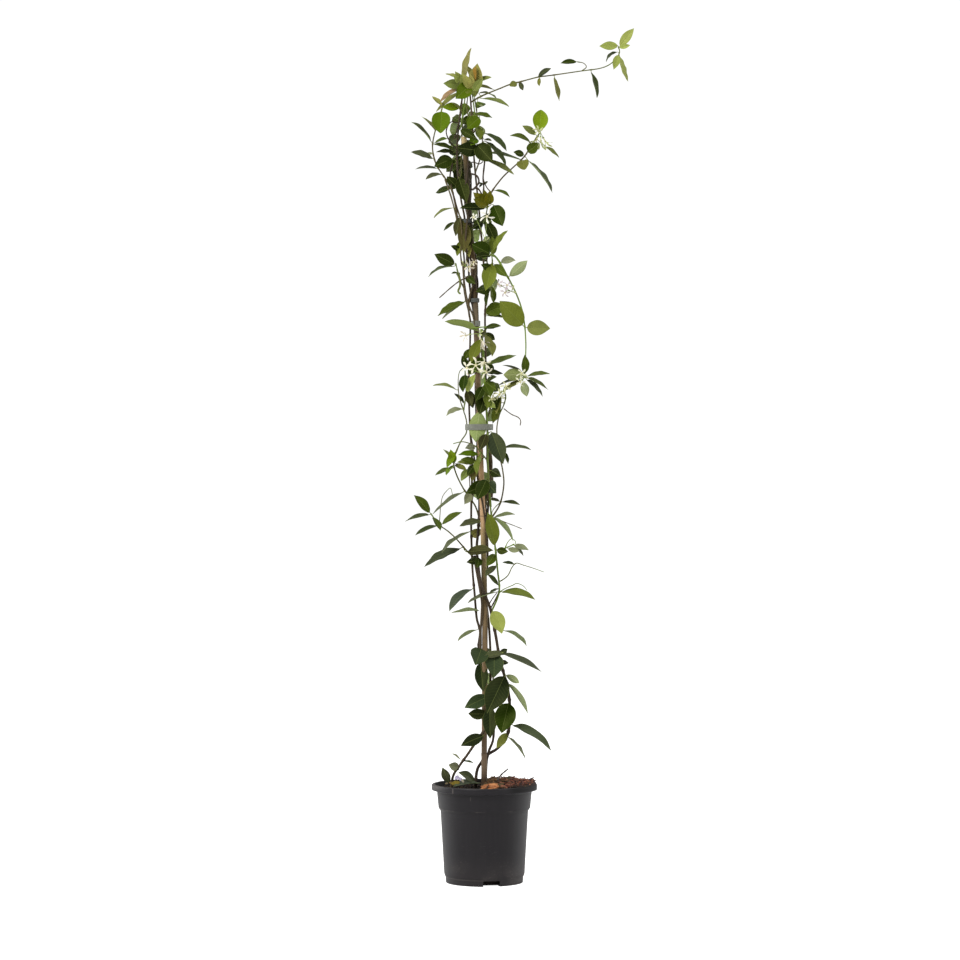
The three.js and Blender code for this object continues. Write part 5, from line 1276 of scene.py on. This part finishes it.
# Bare twigs and tendrils: shoot, age, radius at the root and at the tip, route.
TENDRILS = [
    ("woody_stem_right", 0.75, 2.6, 2.4, (
        (6, 3, 610), (8, -1, 640), (11, -3, 660), (9, 1, 690), (4, 6, 715),
    )),
    ("woody_stem_left", 0.65, 2.6, 2.2, (
        (11, 6, 615), (12, 2, 645), (6, -3, 668), (5, 0, 695), (7, 5, 715),
    )),
    ("woody_stem_middle", 1, 1.6, 1.4, (
        (-20, 5, 610), (-16, 3, 640), (-15, 2, 665), (-18, 0, 690), (-22, 2, 715),
    )),
    ("woody_stem_left", 0.8, 2.2, 2, (
        (-16, -2, 522), (-12, -6, 495), (-7, -9, 470), (-4, -8, 448), (-4, -6, 430), (-6, -4, 400),
        (-6, -2, 370),
    )),
    ("woody_stem_middle", 0.9, 1.6, 1.4, (
        (-30, -2, 980), (-28, -13, 1002), (-30, -17, 1028), (-27, -12, 1060), (-24, -3, 1076),
    )),
    ("woody_stem_middle", 0.6, 1.3, 1.2, (
        (-36, -2, 986), (-38, -12, 1006), (-36, -16, 1030), (-38, -10, 1058), (-42, -3, 1072),
    )),
    ("woody_stem_middle", 0.6, 1, 0.8, ((-21, 7, 680), (-24, 5, 655), (-23, 4, 625))),
    ("green_runner", 0.2, 1.8, 1.6, (
        (10, -13, 600), (7.5, -14, 630), (5.5, -14, 660), (5.5, -12, 700), (5, -9, 722),
    )),
    ("green_runner", 0.05, 1.1, 1, ((-20, -14, 885), (0, -15, 887), (15, -14, 885))),
    ("right_climber", 0.6, 0.9, 0.8, (
        (31, -10, 757), (43, -10, 748), (54, -10, 743), (58, -10, 737), (57, -10, 730),
    )),
    ("right_climber", 0.4, 0.8, 0.6, ((17, -10, 583), (32, -9, 576), (45, -8, 571), (60, -7, 565))),
    ("left_sprig", 0.65, 1.3, 0.9, ((-20, -4, 970), (-38, -5, 962), (-54, -6, 950), (-72, -7, 934))),
    ("upper_middle_shoot", 0.9, 1, 0.9, ((-27, -1, 1150), (-17, -4, 1151), (-8, -6, 1148), (-2, -6, 1152))),
    ("upper_middle_shoot", 1, 1.5, 1.4, (
        (-22, -2, 1133), (-12, -6, 1129), (-9, -7, 1118), (-19, -6, 1106),
    )),
    ("high_front_tuft", 1, 1.5, 1.2, ((-20, -5, 1107), (-11, -8, 1109), (-4, -9, 1098), (-3, -8, 1084))),
    ("upper_right_shoot", 0.95, 1.4, 1.3, (
        (1, -1, 1160), (0, 0.5, 1148), (-2, 2, 1128), (-1, 0, 1113), (-2, -4, 1099),
    )),
    ("woody_stem_middle", 0.7, 1.8, 1.5, (
        (-34, -5, 990), (-32, -6, 955), (-26, -7, 925), (-18, -5, 905), (-13, -5, 882),
    )),
    ("woody_stem_left", 0.7, 1.7, 1.5, (
        (-12, -6, 992), (-16, -7, 962), (-23, -7, 938), (-25, -4, 915), (-22, 2, 896),
    )),
    ("green_runner", 0.75, 1.2, 1.1, ((9, -1, 436), (15, -3, 447), (23, -6, 463))),
    ("green_runner", 0.7, 0.9, 0.8, ((6, -2, 441), (12, -4, 452), (20, -7, 463))),
    ("woody_stem_middle", 0.5, 1.3, 1.1, (
        (-63, -2, 1124), (-54, -2, 1098), (-46, -2, 1068), (-42, -2, 1040),
    )),
    ("woody_stem_middle", 0.9, 1.3, 1.2, (
        (-51, 0, 1150), (-55, 0, 1124), (-47, -1, 1090), (-38, -2, 1060),
    )),
    ("left_crown_shoot", 0.1, 1.1, 1, ((-38, 0, 1208), (-33, -3, 1237), (-30, -3, 1264))),
    ("right_crown_shoot", 0.15, 1.1, 1, ((-12, 0, 1202), (-16, -2, 1235), (-20, -3, 1266))),
    ("right_crown_shoot", 0.4, 1, 0.9, ((-24, -4, 1215), (-28, -4, 1240), (-25, -3, 1265))),
    ("left_crown_shoot", 0.8, 1.1, 1, ((-48, -2, 1188), (-41, -3, 1215), (-36, -2, 1247))),
    ("woody_stem_right", 0.9, 1.1, 0.9, (
        (-43, 3, 1172), (-55, -3, 1184), (-61, -5, 1200), (-54, -4, 1215), (-41, 0, 1214),
    )),
]

# Two dark stems that twine round the cane itself: shoot, age, radii, and a route of turns round the cane
# (0 is right, 0.25 behind and 0.5 left), distance from its middle, and height.
TWINES = [
    ("woody_stem_left", 1.0, 1.7, 1.2, (
        (1.05, 6.4, 560), (1.1, 6.4, 590), (1.25, 6.4, 700), (1.3, 6.2, 894), (1.5, 6.2, 930),
        (1.75, 6.2, 955), (2, 6, 985), (2.3, 6, 1059), (2.75, 6, 1130), (2.9, 6, 1178),
    )),
    ("woody_stem_right", 0.95, 1.6, 1.2, (
        (0.1, 6.4, 500), (-0.25, 6.4, 608), (-0.6, 6.4, 690), (-0.7, 6.2, 894), (-0.8, 6, 930),
        (-1, 6, 960), (-1.25, 6.2, 985), (-1.5, 6.2, 1015), (-1.7, 6.2, 1059), (-2.1, 6, 1150),
    )),
]
# A shoot that isn't listed is made of plain leaves.
SLOTS = {
    "woody_stem_left": "woody_stem", "woody_stem_right": "woody_stem", "woody_stem_middle": "woody_stem",
    "green_runner": "green_runner", "right_arch": "young_leaf", "top_whip": "young_leaf",
    "back_shoot_crown": "young_leaf", "left_crown_shoot": "bronze_leaf", "right_crown_shoot": "bronze_leaf",
}


def leaf_root(twigs, x, z):
    """Where a leaf grows from: the quarter point of the CAD twigs' pieces that is nearest from the front."""
    spots = []
    for root_radius, _, route in twigs:
        line = along(route, CAD_STEM_STEP if root_radius > CAD_STEM_LEAST_RADIUS else CAD_TWIG_STEP)
        for near, far in zip(line[1:], line[2:]):
            spots.extend(mixed(near, far, share) for share in (0.25, 0.5, 0.75))
    return min(spots, key=lambda spot: math.hypot(spot.x - x, spot.z - z))


def blade_outline(t, blunt):
    """Half a leaf's width at t along it, as a share of the widest: an oval drawn out to a point."""
    if t <= 0 or t >= 1:
        return 0.0
    return math.sin(math.pi * t ** 0.91) ** (0.66 - 0.28 * blunt + (0.42 - 0.3 * blunt) * t)


def bare_twig(root_radius, tip_radius, route):
    """The rings of a bare twig, a little uneven along its way."""
    line = along(route, STEM_STEP)
    return tube(line, lambda t: mixed(root_radius, tip_radius, t) * (1 + 0.1 * math.sin(23 * t)), TWIG_SIDES)


def both_faces(columns):
    """The way round a blade's section: 1 and each column above, then -1 and each column back below."""
    return [(1, s) for s in columns] + [(-1, s) for s in columns[-2:0:-1]]


def leaf_pose(cad_tree, root, leaf):
    """Where a leaf's blade starts and ends, its width and how much of it the front sees, the way square to
    the blade that points upwards, and the way its upper face looks."""
    base_x, base_z, tip_x, tip_z, lean, shown = leaf[:6]
    stalk = math.hypot(base_x - root.x, base_z - root.z)
    share = stalk / (stalk + math.hypot(tip_x - base_x, tip_z - base_z))

    def tip_at(shift):
        return Vector((tip_x, root.y + lean + shift, tip_z))

    def is_missed(shift):
        return cad_tree.find(tip_at(shift))[2] > CAD_TIP_SLACK

    shift = min(LEAF_SHIFTS, key=lambda shift: (is_missed(shift), abs(shift)))
    tip = tip_at(shift)
    if share > PETIOLE_SHARE:
        base = Vector((base_x, root.y + (lean + shift) * share, base_z))
    else:
        base = mixed(root, tip, PETIOLE_SHARE)
    # A leaf that shows less than its width is tilted, and one that shows its underside is turned over.
    width = max(abs(shown), LEAF_ASPECT * (tip - base).length)
    open_share = abs(shown) / width
    tilt = math.acos(max(0.08, open_share - 0.12 * (1 - open_share ** 2)))
    turn = math.pi - tilt if shown < 0 else tilt
    axis = (tip - base).normalized()
    front = square_to(axis, Vector((0, -1, 0)))
    rise = axis.cross(front)
    if rise.z < 0:
        rise.negate()
    return base, tip, width, open_share, rise, front * math.cos(turn) + rise * math.sin(turn)


def grow_leaf(shape, draw, cad_tree, line, root, leaf, colour):
    """One leaf, stalk and blade in one skin, from the middle of its twig to the tip that the CAD gives it."""
    lean, shown, *bow = leaf[4:]
    bow = LEAF_BOW * bow[0] if bow else 0.0
    base, tip, width, open_share, rise, upper = leaf_pose(cad_tree, root, leaf)
    reach = (tip - base).length
    axis = (tip - base).normalized()
    side = axis.cross(upper)
    # A leaf on the far side that would turn its glossy face down has its faces swapped.
    flipped = shown > 0 and lean > 30 and upper.z < -0.2
    start = min(line, key=lambda point: (point - root).length)
    pull = base - axis * 0.45 * (base - start).length
    stalk_radius = mixed(0.45, 0.75, eased(reach, 20, 60))
    blunt = eased(width / reach, 0.5, 0.95)
    twist = draw.uniform(-0.22, 0.22)
    wave_depth = draw.uniform(0.01, 0.035) * width
    wave_count = draw.uniform(1.5, 3.2)
    wave_start = draw.uniform(0, 2 * math.pi)
    droop = draw.uniform(-0.02, 0.03)
    vein_count = round(4 + reach / 9)
    lean_of_vein = 0.62 * vein_count / reach
    # Painted sheen: a leaf seen edge-on is greyed and lightened towards #858e6e for the gloss it shows at a
    # glancing angle, and one that shows its underside gets less of it.
    glancing_sheen = (0.55 if shown > 0 else 0.3) * max(0.0, 0.75 - open_share)
    strength = draw.uniform(0.9, 1.1)
    colour = mixed(Vector(colour[:3]), Vector(tone("#858e6e")[:3]), glancing_sheen) * strength
    colour = [channel * draw.uniform(0.96, 1.04) for channel in colour] + [1.0]

    rings, marks = [], {"along": [], "across": [], "vein": [], "under": []}

    def section(centre, ahead, half, thick, raised, t):
        """A ring of the leaf: the upper face from one edge to the other, then the lower face back."""
        level = Quaternion(ahead, twist * t) @ square_to(ahead, side)
        above = level.cross(ahead)
        ring = []
        for face, s in both_faces(LEAF_COLUMNS):
            swell = math.sqrt(max(0.0, 1 - s * s))
            bent = raised * (abs(s) ** 1.2 - 0.16 * math.sin(math.pi * abs(s)))
            wave = wave_depth * s * s * math.sin(2 * math.pi * wave_count * t + wave_start + 0.9 * s)
            rib = bell(s * half, 0.7) * eased(raised, 0, 0.8)
            rib_depth = 0.22 if face > 0 else 0.4
            lift = bent + wave * eased(t, 0, 0.15) + face * thick * swell - rib_depth * rib * (1 - 0.6 * t)
            ring.append(centre + level * s * half + above * lift)
            marks["along"].append(t)
            marks["across"].append(abs(s) * half)
            marks["vein"].append(vein_count * t - lean_of_vein * abs(s) * half * (1 + 0.25 * abs(s)))
            hidden = 0.5 if abs(s) == 1 else (0.0 if face > 0 else 1.0)
            marks["under"].append(1 - hidden if flipped else hidden)
        rings.append(ring)

    for i in range(PETIOLE_STEPS):
        share = i / PETIOLE_STEPS
        centre = mixed(mixed(start, pull, share), mixed(pull, base, share), share)
        ahead = mixed(pull - start, base - pull, share).normalized()
        radius = stalk_radius * (1 + 0.5 * (1 - share) ** 3)
        section(centre, ahead, radius, 0.8 * radius, 0.0, -1.0 + 0.8 * share)
    for i in range(BLADE_STEPS):
        even = i / BLADE_STEPS
        t = 0.55 * even + 0.45 * (0.5 - 0.5 * math.cos(math.pi * even))
        arch = 4 * t * (1 - t) * reach
        slope = 4 * (1 - 2 * t)
        centre = base + axis * t * reach + rise * bow * arch + upper * (LEAF_CURL + droop * t) * arch
        ahead = (axis + rise * bow * slope + upper * LEAF_CURL * slope).normalized()
        half = max(stalk_radius * (1 - 0.75 * t), width / 2 * blade_outline(t, blunt))
        thick = mixed(0.8 * stalk_radius, LEAF_THICKNESS / 2, eased(t, 0, 0.1)) * (1 - 0.35 * t)
        section(centre, ahead, half, thick, LEAF_FOLD * half * eased(t, 0, 0.12), t)
    rings.append([tip])
    for name, value in (("along", 1.0), ("across", 0.0), ("vein", 0.0), ("under", 0.5)):
        marks[name].append(value)
    shape.skin(rings, look=1, tint=tuple(colour), **marks)


def leaf_skin(name, roughness):
    """Leathery green with a pale midrib and faint side veins, a light margin and a dull, paler underside."""
    finish = Finish(name)
    tint = finish.mark("tint")
    along_leaf = finish.mark("along")
    margin = finish.mark("under")
    under = margin.between(0.6, 0.95)
    stalk = 1 - along_leaf.between(-0.06, 0.03)
    midrib = 1 - finish.mark("across").between(0.2, 0.6)
    ripple = finish.node("ShaderNodeMath", {"operation": "PINGPONG"}, {0: finish.mark("vein") + 40, 1: 0.5})
    veins = (1 - ripple.between(0.02, 0.13)) * along_leaf.between(0.03, 0.12) * (1 - midrib)
    blotch = finish.mottle(13, 3.0)
    pores = finish.mottle(1.1, 2.0)
    green = finish.shade(tint, 0.72 + 0.44 * blotch + 0.12 * pores)
    lit = finish.mix(green, tone("#a3ad62"), 0.2 * midrib + 0.035 * veins)
    lit = finish.mix(lit, tone("#8f9650"), 0.3 * margin.between(0.2, 0.5))
    pale = finish.mix(green, tone("#8f9f68"), 0.5)
    pale = finish.mix(pale, tone("#c3c894"), 0.4 * midrib + 0.12 * veins)
    colour = finish.mix(finish.mix(lit, pale, under), tone("#77803c"), 0.8 * stalk)
    return finish.surface(
        Base_Color=colour,
        Roughness=roughness + 0.1 * blotch + 0.22 * under,
        Specular_IOR_Level=0.12,
        Specular_Tint=(0.95, 1, 0.3, 1),
        Normal=finish.relief(0.14 * pores - 0.6 * midrib - 0.2 * veins + 0.25 * blotch, 0.5),
    )


def stem_skin():
    """Green when young and brown with age, streaked along the stem and flecked with pores once it is bark."""
    finish = Finish("stem_bark")
    streaks = finish.mottle(2.2, 3.0, (1, 1, 0.12))
    flecks = 1 - finish.cells(2.6, (1, 1, 0.5)).between(0.12, 0.26)
    age = finish.mark("age") + 0.3 * (finish.mottle(26, 3.0) - 0.5)
    skin = finish.shade(finish.ramp(age, STEM_TONES), 0.7 + 0.6 * streaks)
    return finish.surface(
        Base_Color=finish.mix(skin, tone("#7d6955"), 0.2 * flecks * age.between(0.35, 0.7)),
        Roughness=0.5 + 0.3 * streaks,
        Specular_IOR_Level=0.22,
        Specular_Tint=(1, 0.88, 0.6, 1),
        Normal=finish.relief(streaks + 0.5 * flecks, 0.2),
    )


leaf_finish = leaf_skin("leaf_green", 0.38)
young_finish = leaf_skin("leaf_young", 0.42)
stem_finish = stem_skin()
bare_twines = []
for bearer, bare_age, root_radius, tip_radius, turns in TWINES:
    route = []
    for turn, distance, z in along(turns, TWINE_STEP):
        angle = 2 * math.pi * turn
        route.append(cane_centre(z) + distance * Vector((math.cos(angle), math.sin(angle), 0)))
    bare_twines.append((bearer, bare_age, root_radius, tip_radius, route))
for name, age, tones, twigs, leaves in SHOOTS:
    draw = random.Random(name)
    shoot_shape = Shape()
    cad_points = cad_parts[name].data.vertices
    cad_tree = KDTree(len(cad_points))
    for i, vertex in enumerate(cad_points):
        cad_tree.insert(vertex.co / MM, i)
    cad_tree.balance()
    fine_line = []
    roots = [leaf_root(twigs, leaf[0], leaf[1]) for leaf in leaves]
    for root_radius, tip_radius, route in twigs:
        line = along(route, STEM_STEP)
        fine_line.extend(line)
        length = sum((b - a).length for a, b in zip(line, line[1:]))
        nearest = [min(range(len(line)), key=lambda i: (line[i] - root).length) for root in roots]
        joints = [
            i / (len(line) - 1) for i, root in zip(nearest, roots) if (line[i] - root).length < JOINT_REACH
        ]

        def radius_at(t):
            """A stem swells at its foot and where a leaf grows from it, and is nowhere quite even."""
            swell = max((bell((t - joint) * length, 2.4) for joint in joints), default=0.0)
            uneven = 0.07 * noise.noise(Vector((t * length / 14, root_radius, 0.5)))
            foot = 0.25 * math.exp(-t * length / 4)
            return mixed(root_radius, tip_radius, t) * (1.08 + 0.4 * swell + uneven + foot)

        rings = tube(line, radius_at, STEM_SIDES if root_radius > CAD_STEM_LEAST_RADIUS else TWIG_SIDES)
        # A stem is greener towards its tip, and a young one more so.
        greener = 0.45 if age < 0.8 else 0.18
        ages = [age * (1 - greener * eased(i / len(line), 0.55, 1)) for i in range(len(line))]
        shoot_shape.skin(rings, age=[ring_age for ring_age, ring in zip(ages, rings) for _ in ring])
    for bearer, bare_age, root_radius, tip_radius, route in TENDRILS + bare_twines:
        if bearer == name:
            shoot_shape.skin(bare_twig(root_radius, tip_radius, route), age=bare_age)
    for leaf, root, letter in zip(leaves, roots, tones):
        grow_leaf(shoot_shape, draw, cad_tree, fine_line, root, leaf, tone(LEAF_TONES[letter]))
    leafy_finish = young_finish if SLOTS.get(name, "leaf") in ("young_leaf", "bronze_leaf") else leaf_finish
    shoot = shoot_shape.made(name + "_grown", stem_finish, leafy_finish, crease=55)
    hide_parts(name)
    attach(shoot, "root")

# ---------------------------------------------------------------------------------- flowers
# Star jasmine: a green stalk and calyx, a slim tube, and five narrow white petals that turn like a pinwheel
# round a creamy eye. Each cluster forks from one stalk and carries a few twisted buds.
FLOWER_TUBE = 8
PETALS = 5
PETAL_COLUMNS = [-1, -0.7, -0.35, 0, 0.35, 0.7, 1]
PETAL_STEPS = 10
BUDS = 3
STALK_STEP = 1.5
STALK_SIDES = 8
# Along a flower's axis, how far ahead of its eye and how far out: calyx, sepal, tube with its throat, bud.
CALYX = [(-8.6, 0.0), (-8.4, 0.7), (-7.6, 1.15), (-6.6, 1.0), (-6.4, 0.0)]
SEPAL = [(-7.6, 0.8), (-6.4, 1.5), (-5.2, 2.1)]
THROAT = [
    (-7.2, 0.0), (-7.0, 0.75), (-5, 0.7), (-3.5, 0.95), (-2, 1.05), (-0.8, 0.85), (0.1, 1.3), (0.7, 1.9),
    (0.8, 1.6), (0.2, 0.7), (-0.6, 0.35), (-0.7, 0.0),
]
BUD = [(-9.4, 0.0), (-9, 0.7), (-7.5, 0.75), (-4, 0.85), (-2.6, 1.35), (-1.2, 1.1), (0.8, 0.5), (1.6, 0.0)]
# A cluster is (name, petal colour, root, fork, flowers), and a flower (x, y, z of its eye, the way it faces,
# petal length, and how far it has closed if it has).
BLOOMS = [
    ("bloom_cluster_middle", "#ddd8c0", (0, -13, 806), (-4, -24, 812), [
        (-13.7, -36, 825, (-0.1, -1, 0.15), 14), (0, -34, 829, (0.2, -0.7, 0.7), 12),
        (3, -38, 814, (0.3, -1, -0.3), 11), (-28, -30, 821, (-0.7, -0.8, 0.1), 12),
    ]),
    ("bloom_pair_right", "#d6d6b4", (65, -10, 809), (63, -18, 806), [
        (59, -32, 812, (-0.4, -1, 0.4), 9), (57, -34, 799, (-0.4, -0.9, -0.5), 9),
    ]),
    ("bloom_drop_right", "#c3c494", (31.5, -9, 785), (29, -18, 784), [
        (24, -32, 779, (-0.3, -1, -0.5), 10), (34, -32, 792, (0.3, -1, 0.3), 9),
        (12, -30, 772, (-0.6, -0.7, -0.3), 8),
    ]),
    ("bloom_arch", "#b9adad", (51, -7, 940), (43, -12, 944), [
        (36, -24, 953, (0.1, -0.8, 0.7), 9), (22, -22, 955, (-0.8, -0.6, 0.4), 9),
        (33, -28, 941, (-0.3, -0.9, -0.4), 8),
    ]),
    ("bloom_front", "#c9c0ac", (-4, -12, 880), (-8, -20, 876), [
        (-6, -31, 867, (0.5, -0.4, -0.9), 18, 1.1), (-29, -26, 873, (-0.9, -0.6, -0.3), 11, 0.6),
    ]),
    ("bloom_tuft", "#dedbcb", (10, -12, 1010), (2, -20, 1024), [
        (4, -30, 1062, (0.1, -0.9, 0.3), 12), (-17, -28, 1061, (-0.5, -0.8, 0.3), 7),
    ]),
    ("bloom_left", "#cfc4ae", (-32, 0, 988), (-30, -10, 984), [
        (-24, -18, 983, (0.3, -1, 0.1), 9), (-17, -22, 990, (0.3, -0.8, 0.5), 7),
    ]),
    ("bloom_top_right", "#b2b87a", (87, -5, 1196), (89, -9, 1200), [
        (83, -14, 1186, (-0.5, -0.4, -1), 13, 0.9), (90, -18, 1184, (0.05, -0.4, -1), 14, 1.0),
        (97, -12, 1184, (0.5, -0.3, -0.9), 14, 0.9), (86, -12, 1200, (-0.3, -0.8, 0.4), 9, 0.4),
    ]),
]


def petal(shape, draw, eye, turned, angle, length, colour, closing):
    """One petal: narrow at the eye, widest near its end, which is cut on a slant and rolled back. A flower
    past its best folds its petals forward by the angle `closing`."""
    spin = draw.uniform(0.25, 0.5)
    roll = draw.uniform(0.05, 0.3)
    fall = draw.uniform(-0.1, 0.22)
    rings = []
    lengths = []
    for i in range(PETAL_STEPS + 1):
        t = i / PETAL_STEPS
        half = (1 + 0.05 * length) * (0.32 + 0.68 * eased(t, 0.1, 0.75)) * (1 - 0.85 * eased(t, 0.86, 1.0))
        thick = 0.22 * (1 - 0.5 * t)
        turn = Matrix.Rotation(angle + spin * t * t, 3, "Z")
        ring = []
        for face, s in both_faces(PETAL_COLUMNS):
            u = length * (0.1 + 0.9 * t) - 0.1 * length * s * eased(t, 0.7, 1)
            lift = 0.5 - fall * length * t * t - roll * half * s * s + 0.35 * half * s * math.sin(2.2 * t)
            lift += face * thick * math.sqrt(1 - 0.98 * s * s)
            out = u * math.cos(closing) - lift * math.sin(closing)
            up = u * math.sin(closing) + lift * math.cos(closing)
            ring.append(eye + turned @ (turn @ Vector((out, s * half, up))))
            lengths.append(t)
        rings.append(ring)
    shape.skin(rings, look=1, tint=colour, along=lengths)


def spindle(eye, turned, profile, sides=10, spin=0.0):
    """Rings round a flower's axis: profile is (distance ahead of the eye, radius), and each may turn on."""
    rings = []
    for i, (ahead, radius) in enumerate(profile):
        angles = [2 * math.pi * j / sides + spin * i for j in range(sides if radius else 1)]
        ring = [Vector((radius * math.cos(a), radius * math.sin(a), ahead)) for a in angles]
        rings.append([eye + turned @ point for point in ring])
    return rings


def petal_skin():
    """Soft white, creamy towards the eye, and worn brown in places near the tip."""
    finish = Finish("petal")
    tint = finish.mark("tint")
    t = finish.mark("along")
    streaks = finish.mottle(0.9, 2.0)
    white = finish.shade(tint, 0.86 + 0.2 * streaks)
    eye_side = finish.mix(white, tone("#cbc380"), 0.7 * (1 - t.between(0.0, 0.3)))
    worn = finish.mottle(4, 2.0).between(0.6, 0.75) * t.between(0.5, 1.0)
    return finish.surface(
        Base_Color=finish.mix(eye_side, tone("#a8987a"), 0.18 * worn),
        Roughness=0.55 + 0.15 * streaks,
        Normal=finish.relief(streaks, 0.12),
    )


def stalk_skin():
    """Smooth light green."""
    finish = Finish("flower_stalk")
    soft = finish.mottle(3, 3.0)
    return finish.surface(
        Base_Color=finish.mix(tone("#6f8a3a"), tone("#9aa65a"), soft),
        Roughness=0.5 + 0.2 * soft,
        Normal=finish.relief(soft, 0.1),
    )


petal_finish = petal_skin()
flower_stalk_finish = stalk_skin()
for name, code, root, fork, flowers in BLOOMS:
    draw = random.Random(name)
    bloom_shape = Shape()
    root, fork = Vector(root), Vector(fork)
    arch = along([root, mixed(root, fork, 0.5) + Vector((0, 0, 0.8)), fork], STALK_STEP)
    bloom_shape.skin(tube(arch, lambda t: 0.7 - 0.15 * t, STALK_SIDES))
    for x, y, z, facing, length, *closing in flowers:
        eye = Vector((x, y, z))
        aim = Vector(facing).normalized()
        turned = Vector((0, 0, 1)).rotation_difference(aim)
        neck = eye - aim * FLOWER_TUBE
        stalk_line = along([fork, mixed(fork, neck, 0.5) - aim * 1.2, neck], STALK_STEP)
        bloom_shape.skin(tube(stalk_line, lambda t: 0.5, STALK_SIDES))
        bloom_shape.skin(spindle(eye, turned, CALYX))
        for i in range(PETALS):
            a = 2 * math.pi * i / PETALS
            out = turned @ Vector((math.cos(a), math.sin(a), 0))
            sepal = [eye + aim * ahead + out * away for ahead, away in SEPAL]
            bloom_shape.skin(tube(sepal, lambda t: 0.5 * (1 - 0.8 * t), 6))
        colour = tone(code, draw.uniform(0.92, 1.06))
        bloom_shape.skin(spindle(eye, turned, THROAT), look=1, tint=colour, along=0.12)
        first = draw.uniform(0, 2 * math.pi)
        for i in range(PETALS):
            angle = first + 2 * math.pi * i / PETALS
            petal(bloom_shape, draw, eye, turned, angle, length, colour, sum(closing))
    for _ in range(BUDS):
        aim = Vector((draw.uniform(-0.8, 0.8), -1, draw.uniform(-0.3, 1))).normalized()
        turned = Vector((0, 0, 1)).rotation_difference(aim)
        size = draw.uniform(0.8, 1.15)
        tip = fork + aim * 13 * size
        hanging = [fork, mixed(fork, tip, 0.4) - Vector((0, 0, 0.8)), tip - aim * 9 * size]
        bloom_shape.skin(tube(along(hanging, STALK_STEP), lambda t: 0.45, 6))
        bud = [(ahead * size, radius * size) for ahead, radius in BUD]
        bloom_shape.skin(spindle(tip, turned, bud, 5, 0.3), look=1, tint=tone("#b9bd84"), along=0.3)
    bloom = bloom_shape.made(name + "_open", flower_stalk_finish, petal_finish, crease=55)
    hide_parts(name)
    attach(bloom, "root")

# ---------------------------------------------------------------------------------- studio
# A white studio: a white floor and surround, one broad soft light from the upper left front, a weaker one
# from the right, one on each side from behind that lights the edges, and a level camera.
CAMERA_PLACE = (-0.007, -4.8, 0.643)
CAMERA_DISTANCE = 4.8
VIEW_HEIGHT = 1.536
ROOM_LIGHT = 0.4
BACKDROP_GLOW = 1.05
FLOOR_GLOW = 0.85
FLOOR_HALF = 30


def soft_light(name, place, target, size, power):
    """A square area light, aimed at a point."""
    light = bpy.data.lights.new(name, "AREA")
    light.size = size
    light.energy = power
    lamp = bpy.data.objects.new(name, light)
    lamp.location = place
    lamp.rotation_mode = "QUATERNION"
    lamp.rotation_quaternion = (Vector(target) - Vector(place)).to_track_quat("-Z", "Y")
    lamp.visible_camera = False
    bpy.context.scene.collection.objects.link(lamp)


floor_finish = Finish("studio_floor")
floor_grain = floor_finish.mottle(300, 2.0)
seen_directly = floor_finish.node("ShaderNodeLightPath", {}, {}, "Is Camera Ray")
floor_finish.surface(
    Base_Color=floor_finish.mix(tone("#dededd"), tone("#e6e6e5"), floor_grain),
    Roughness=0.8 + 0.1 * floor_grain,
    Specular_IOR_Level=0.0,
    Emission_Color=floor_finish.mix((0, 0, 0, 1), (1, 1, 1, 1), seen_directly),
    Emission_Strength=FLOOR_GLOW,
)
floor_mesh = bpy.data.meshes.new("studio_floor")
floor_corners = [(x * FLOOR_HALF, y * FLOOR_HALF, 0) for x, y in ((-1, -1), (1, -1), (1, 1), (-1, 1))]
floor_mesh.from_pydata(floor_corners, [], [(0, 1, 2, 3)])
floor_mesh.materials.append(floor_finish.material)
floor = bpy.data.objects.new("studio_floor", floor_mesh)
bpy.context.scene.collection.objects.link(floor)

# The room is white to the eye and gives only a little light of its own.
world = bpy.data.worlds.new("white_studio")
world.use_nodes = True
room = world.node_tree.nodes
room["Background"].inputs["Color"].default_value = (1, 1, 1, 1)
room["Background"].inputs["Strength"].default_value = ROOM_LIGHT
backdrop = room.new("ShaderNodeBackground")
backdrop.inputs["Color"].default_value = (1, 1, 1, 1)
backdrop.inputs["Strength"].default_value = BACKDROP_GLOW
seen = room.new("ShaderNodeLightPath")
either = room.new("ShaderNodeMixShader")
world.node_tree.links.new(seen.outputs["Is Camera Ray"], either.inputs[0])
world.node_tree.links.new(room["Background"].outputs[0], either.inputs[1])
world.node_tree.links.new(backdrop.outputs[0], either.inputs[2])
world.node_tree.links.new(either.outputs[0], room["World Output"].inputs[0])
bpy.context.scene.world = world
bpy.context.scene.view_settings.view_transform = "Standard"

soft_light("key_light", (-2.2, -2.6, 2.9), (0, 0, 0.75), 2.2, 156)
soft_light("fill_light", (2.8, -1.9, 1.6), (0, 0, 0.7), 1.6, 30)
soft_light("left_edge_light", (-2.4, 1.1, 0.9), (0, 0, 0.6), 1.8, 40)
soft_light("right_edge_light", (2.4, 1.1, 0.9), (0, 0, 0.6), 1.8, 40)

camera_data = bpy.data.cameras.new("camera")
camera_data.lens = camera_data.sensor_width * CAMERA_DISTANCE / VIEW_HEIGHT
camera_data.clip_end = 100
camera = bpy.data.objects.new("camera", camera_data)
camera.location = CAMERA_PLACE
camera.rotation_euler = (math.pi / 2, 0, 0)
bpy.context.scene.collection.objects.link(camera)
bpy.context.scene.camera = camera
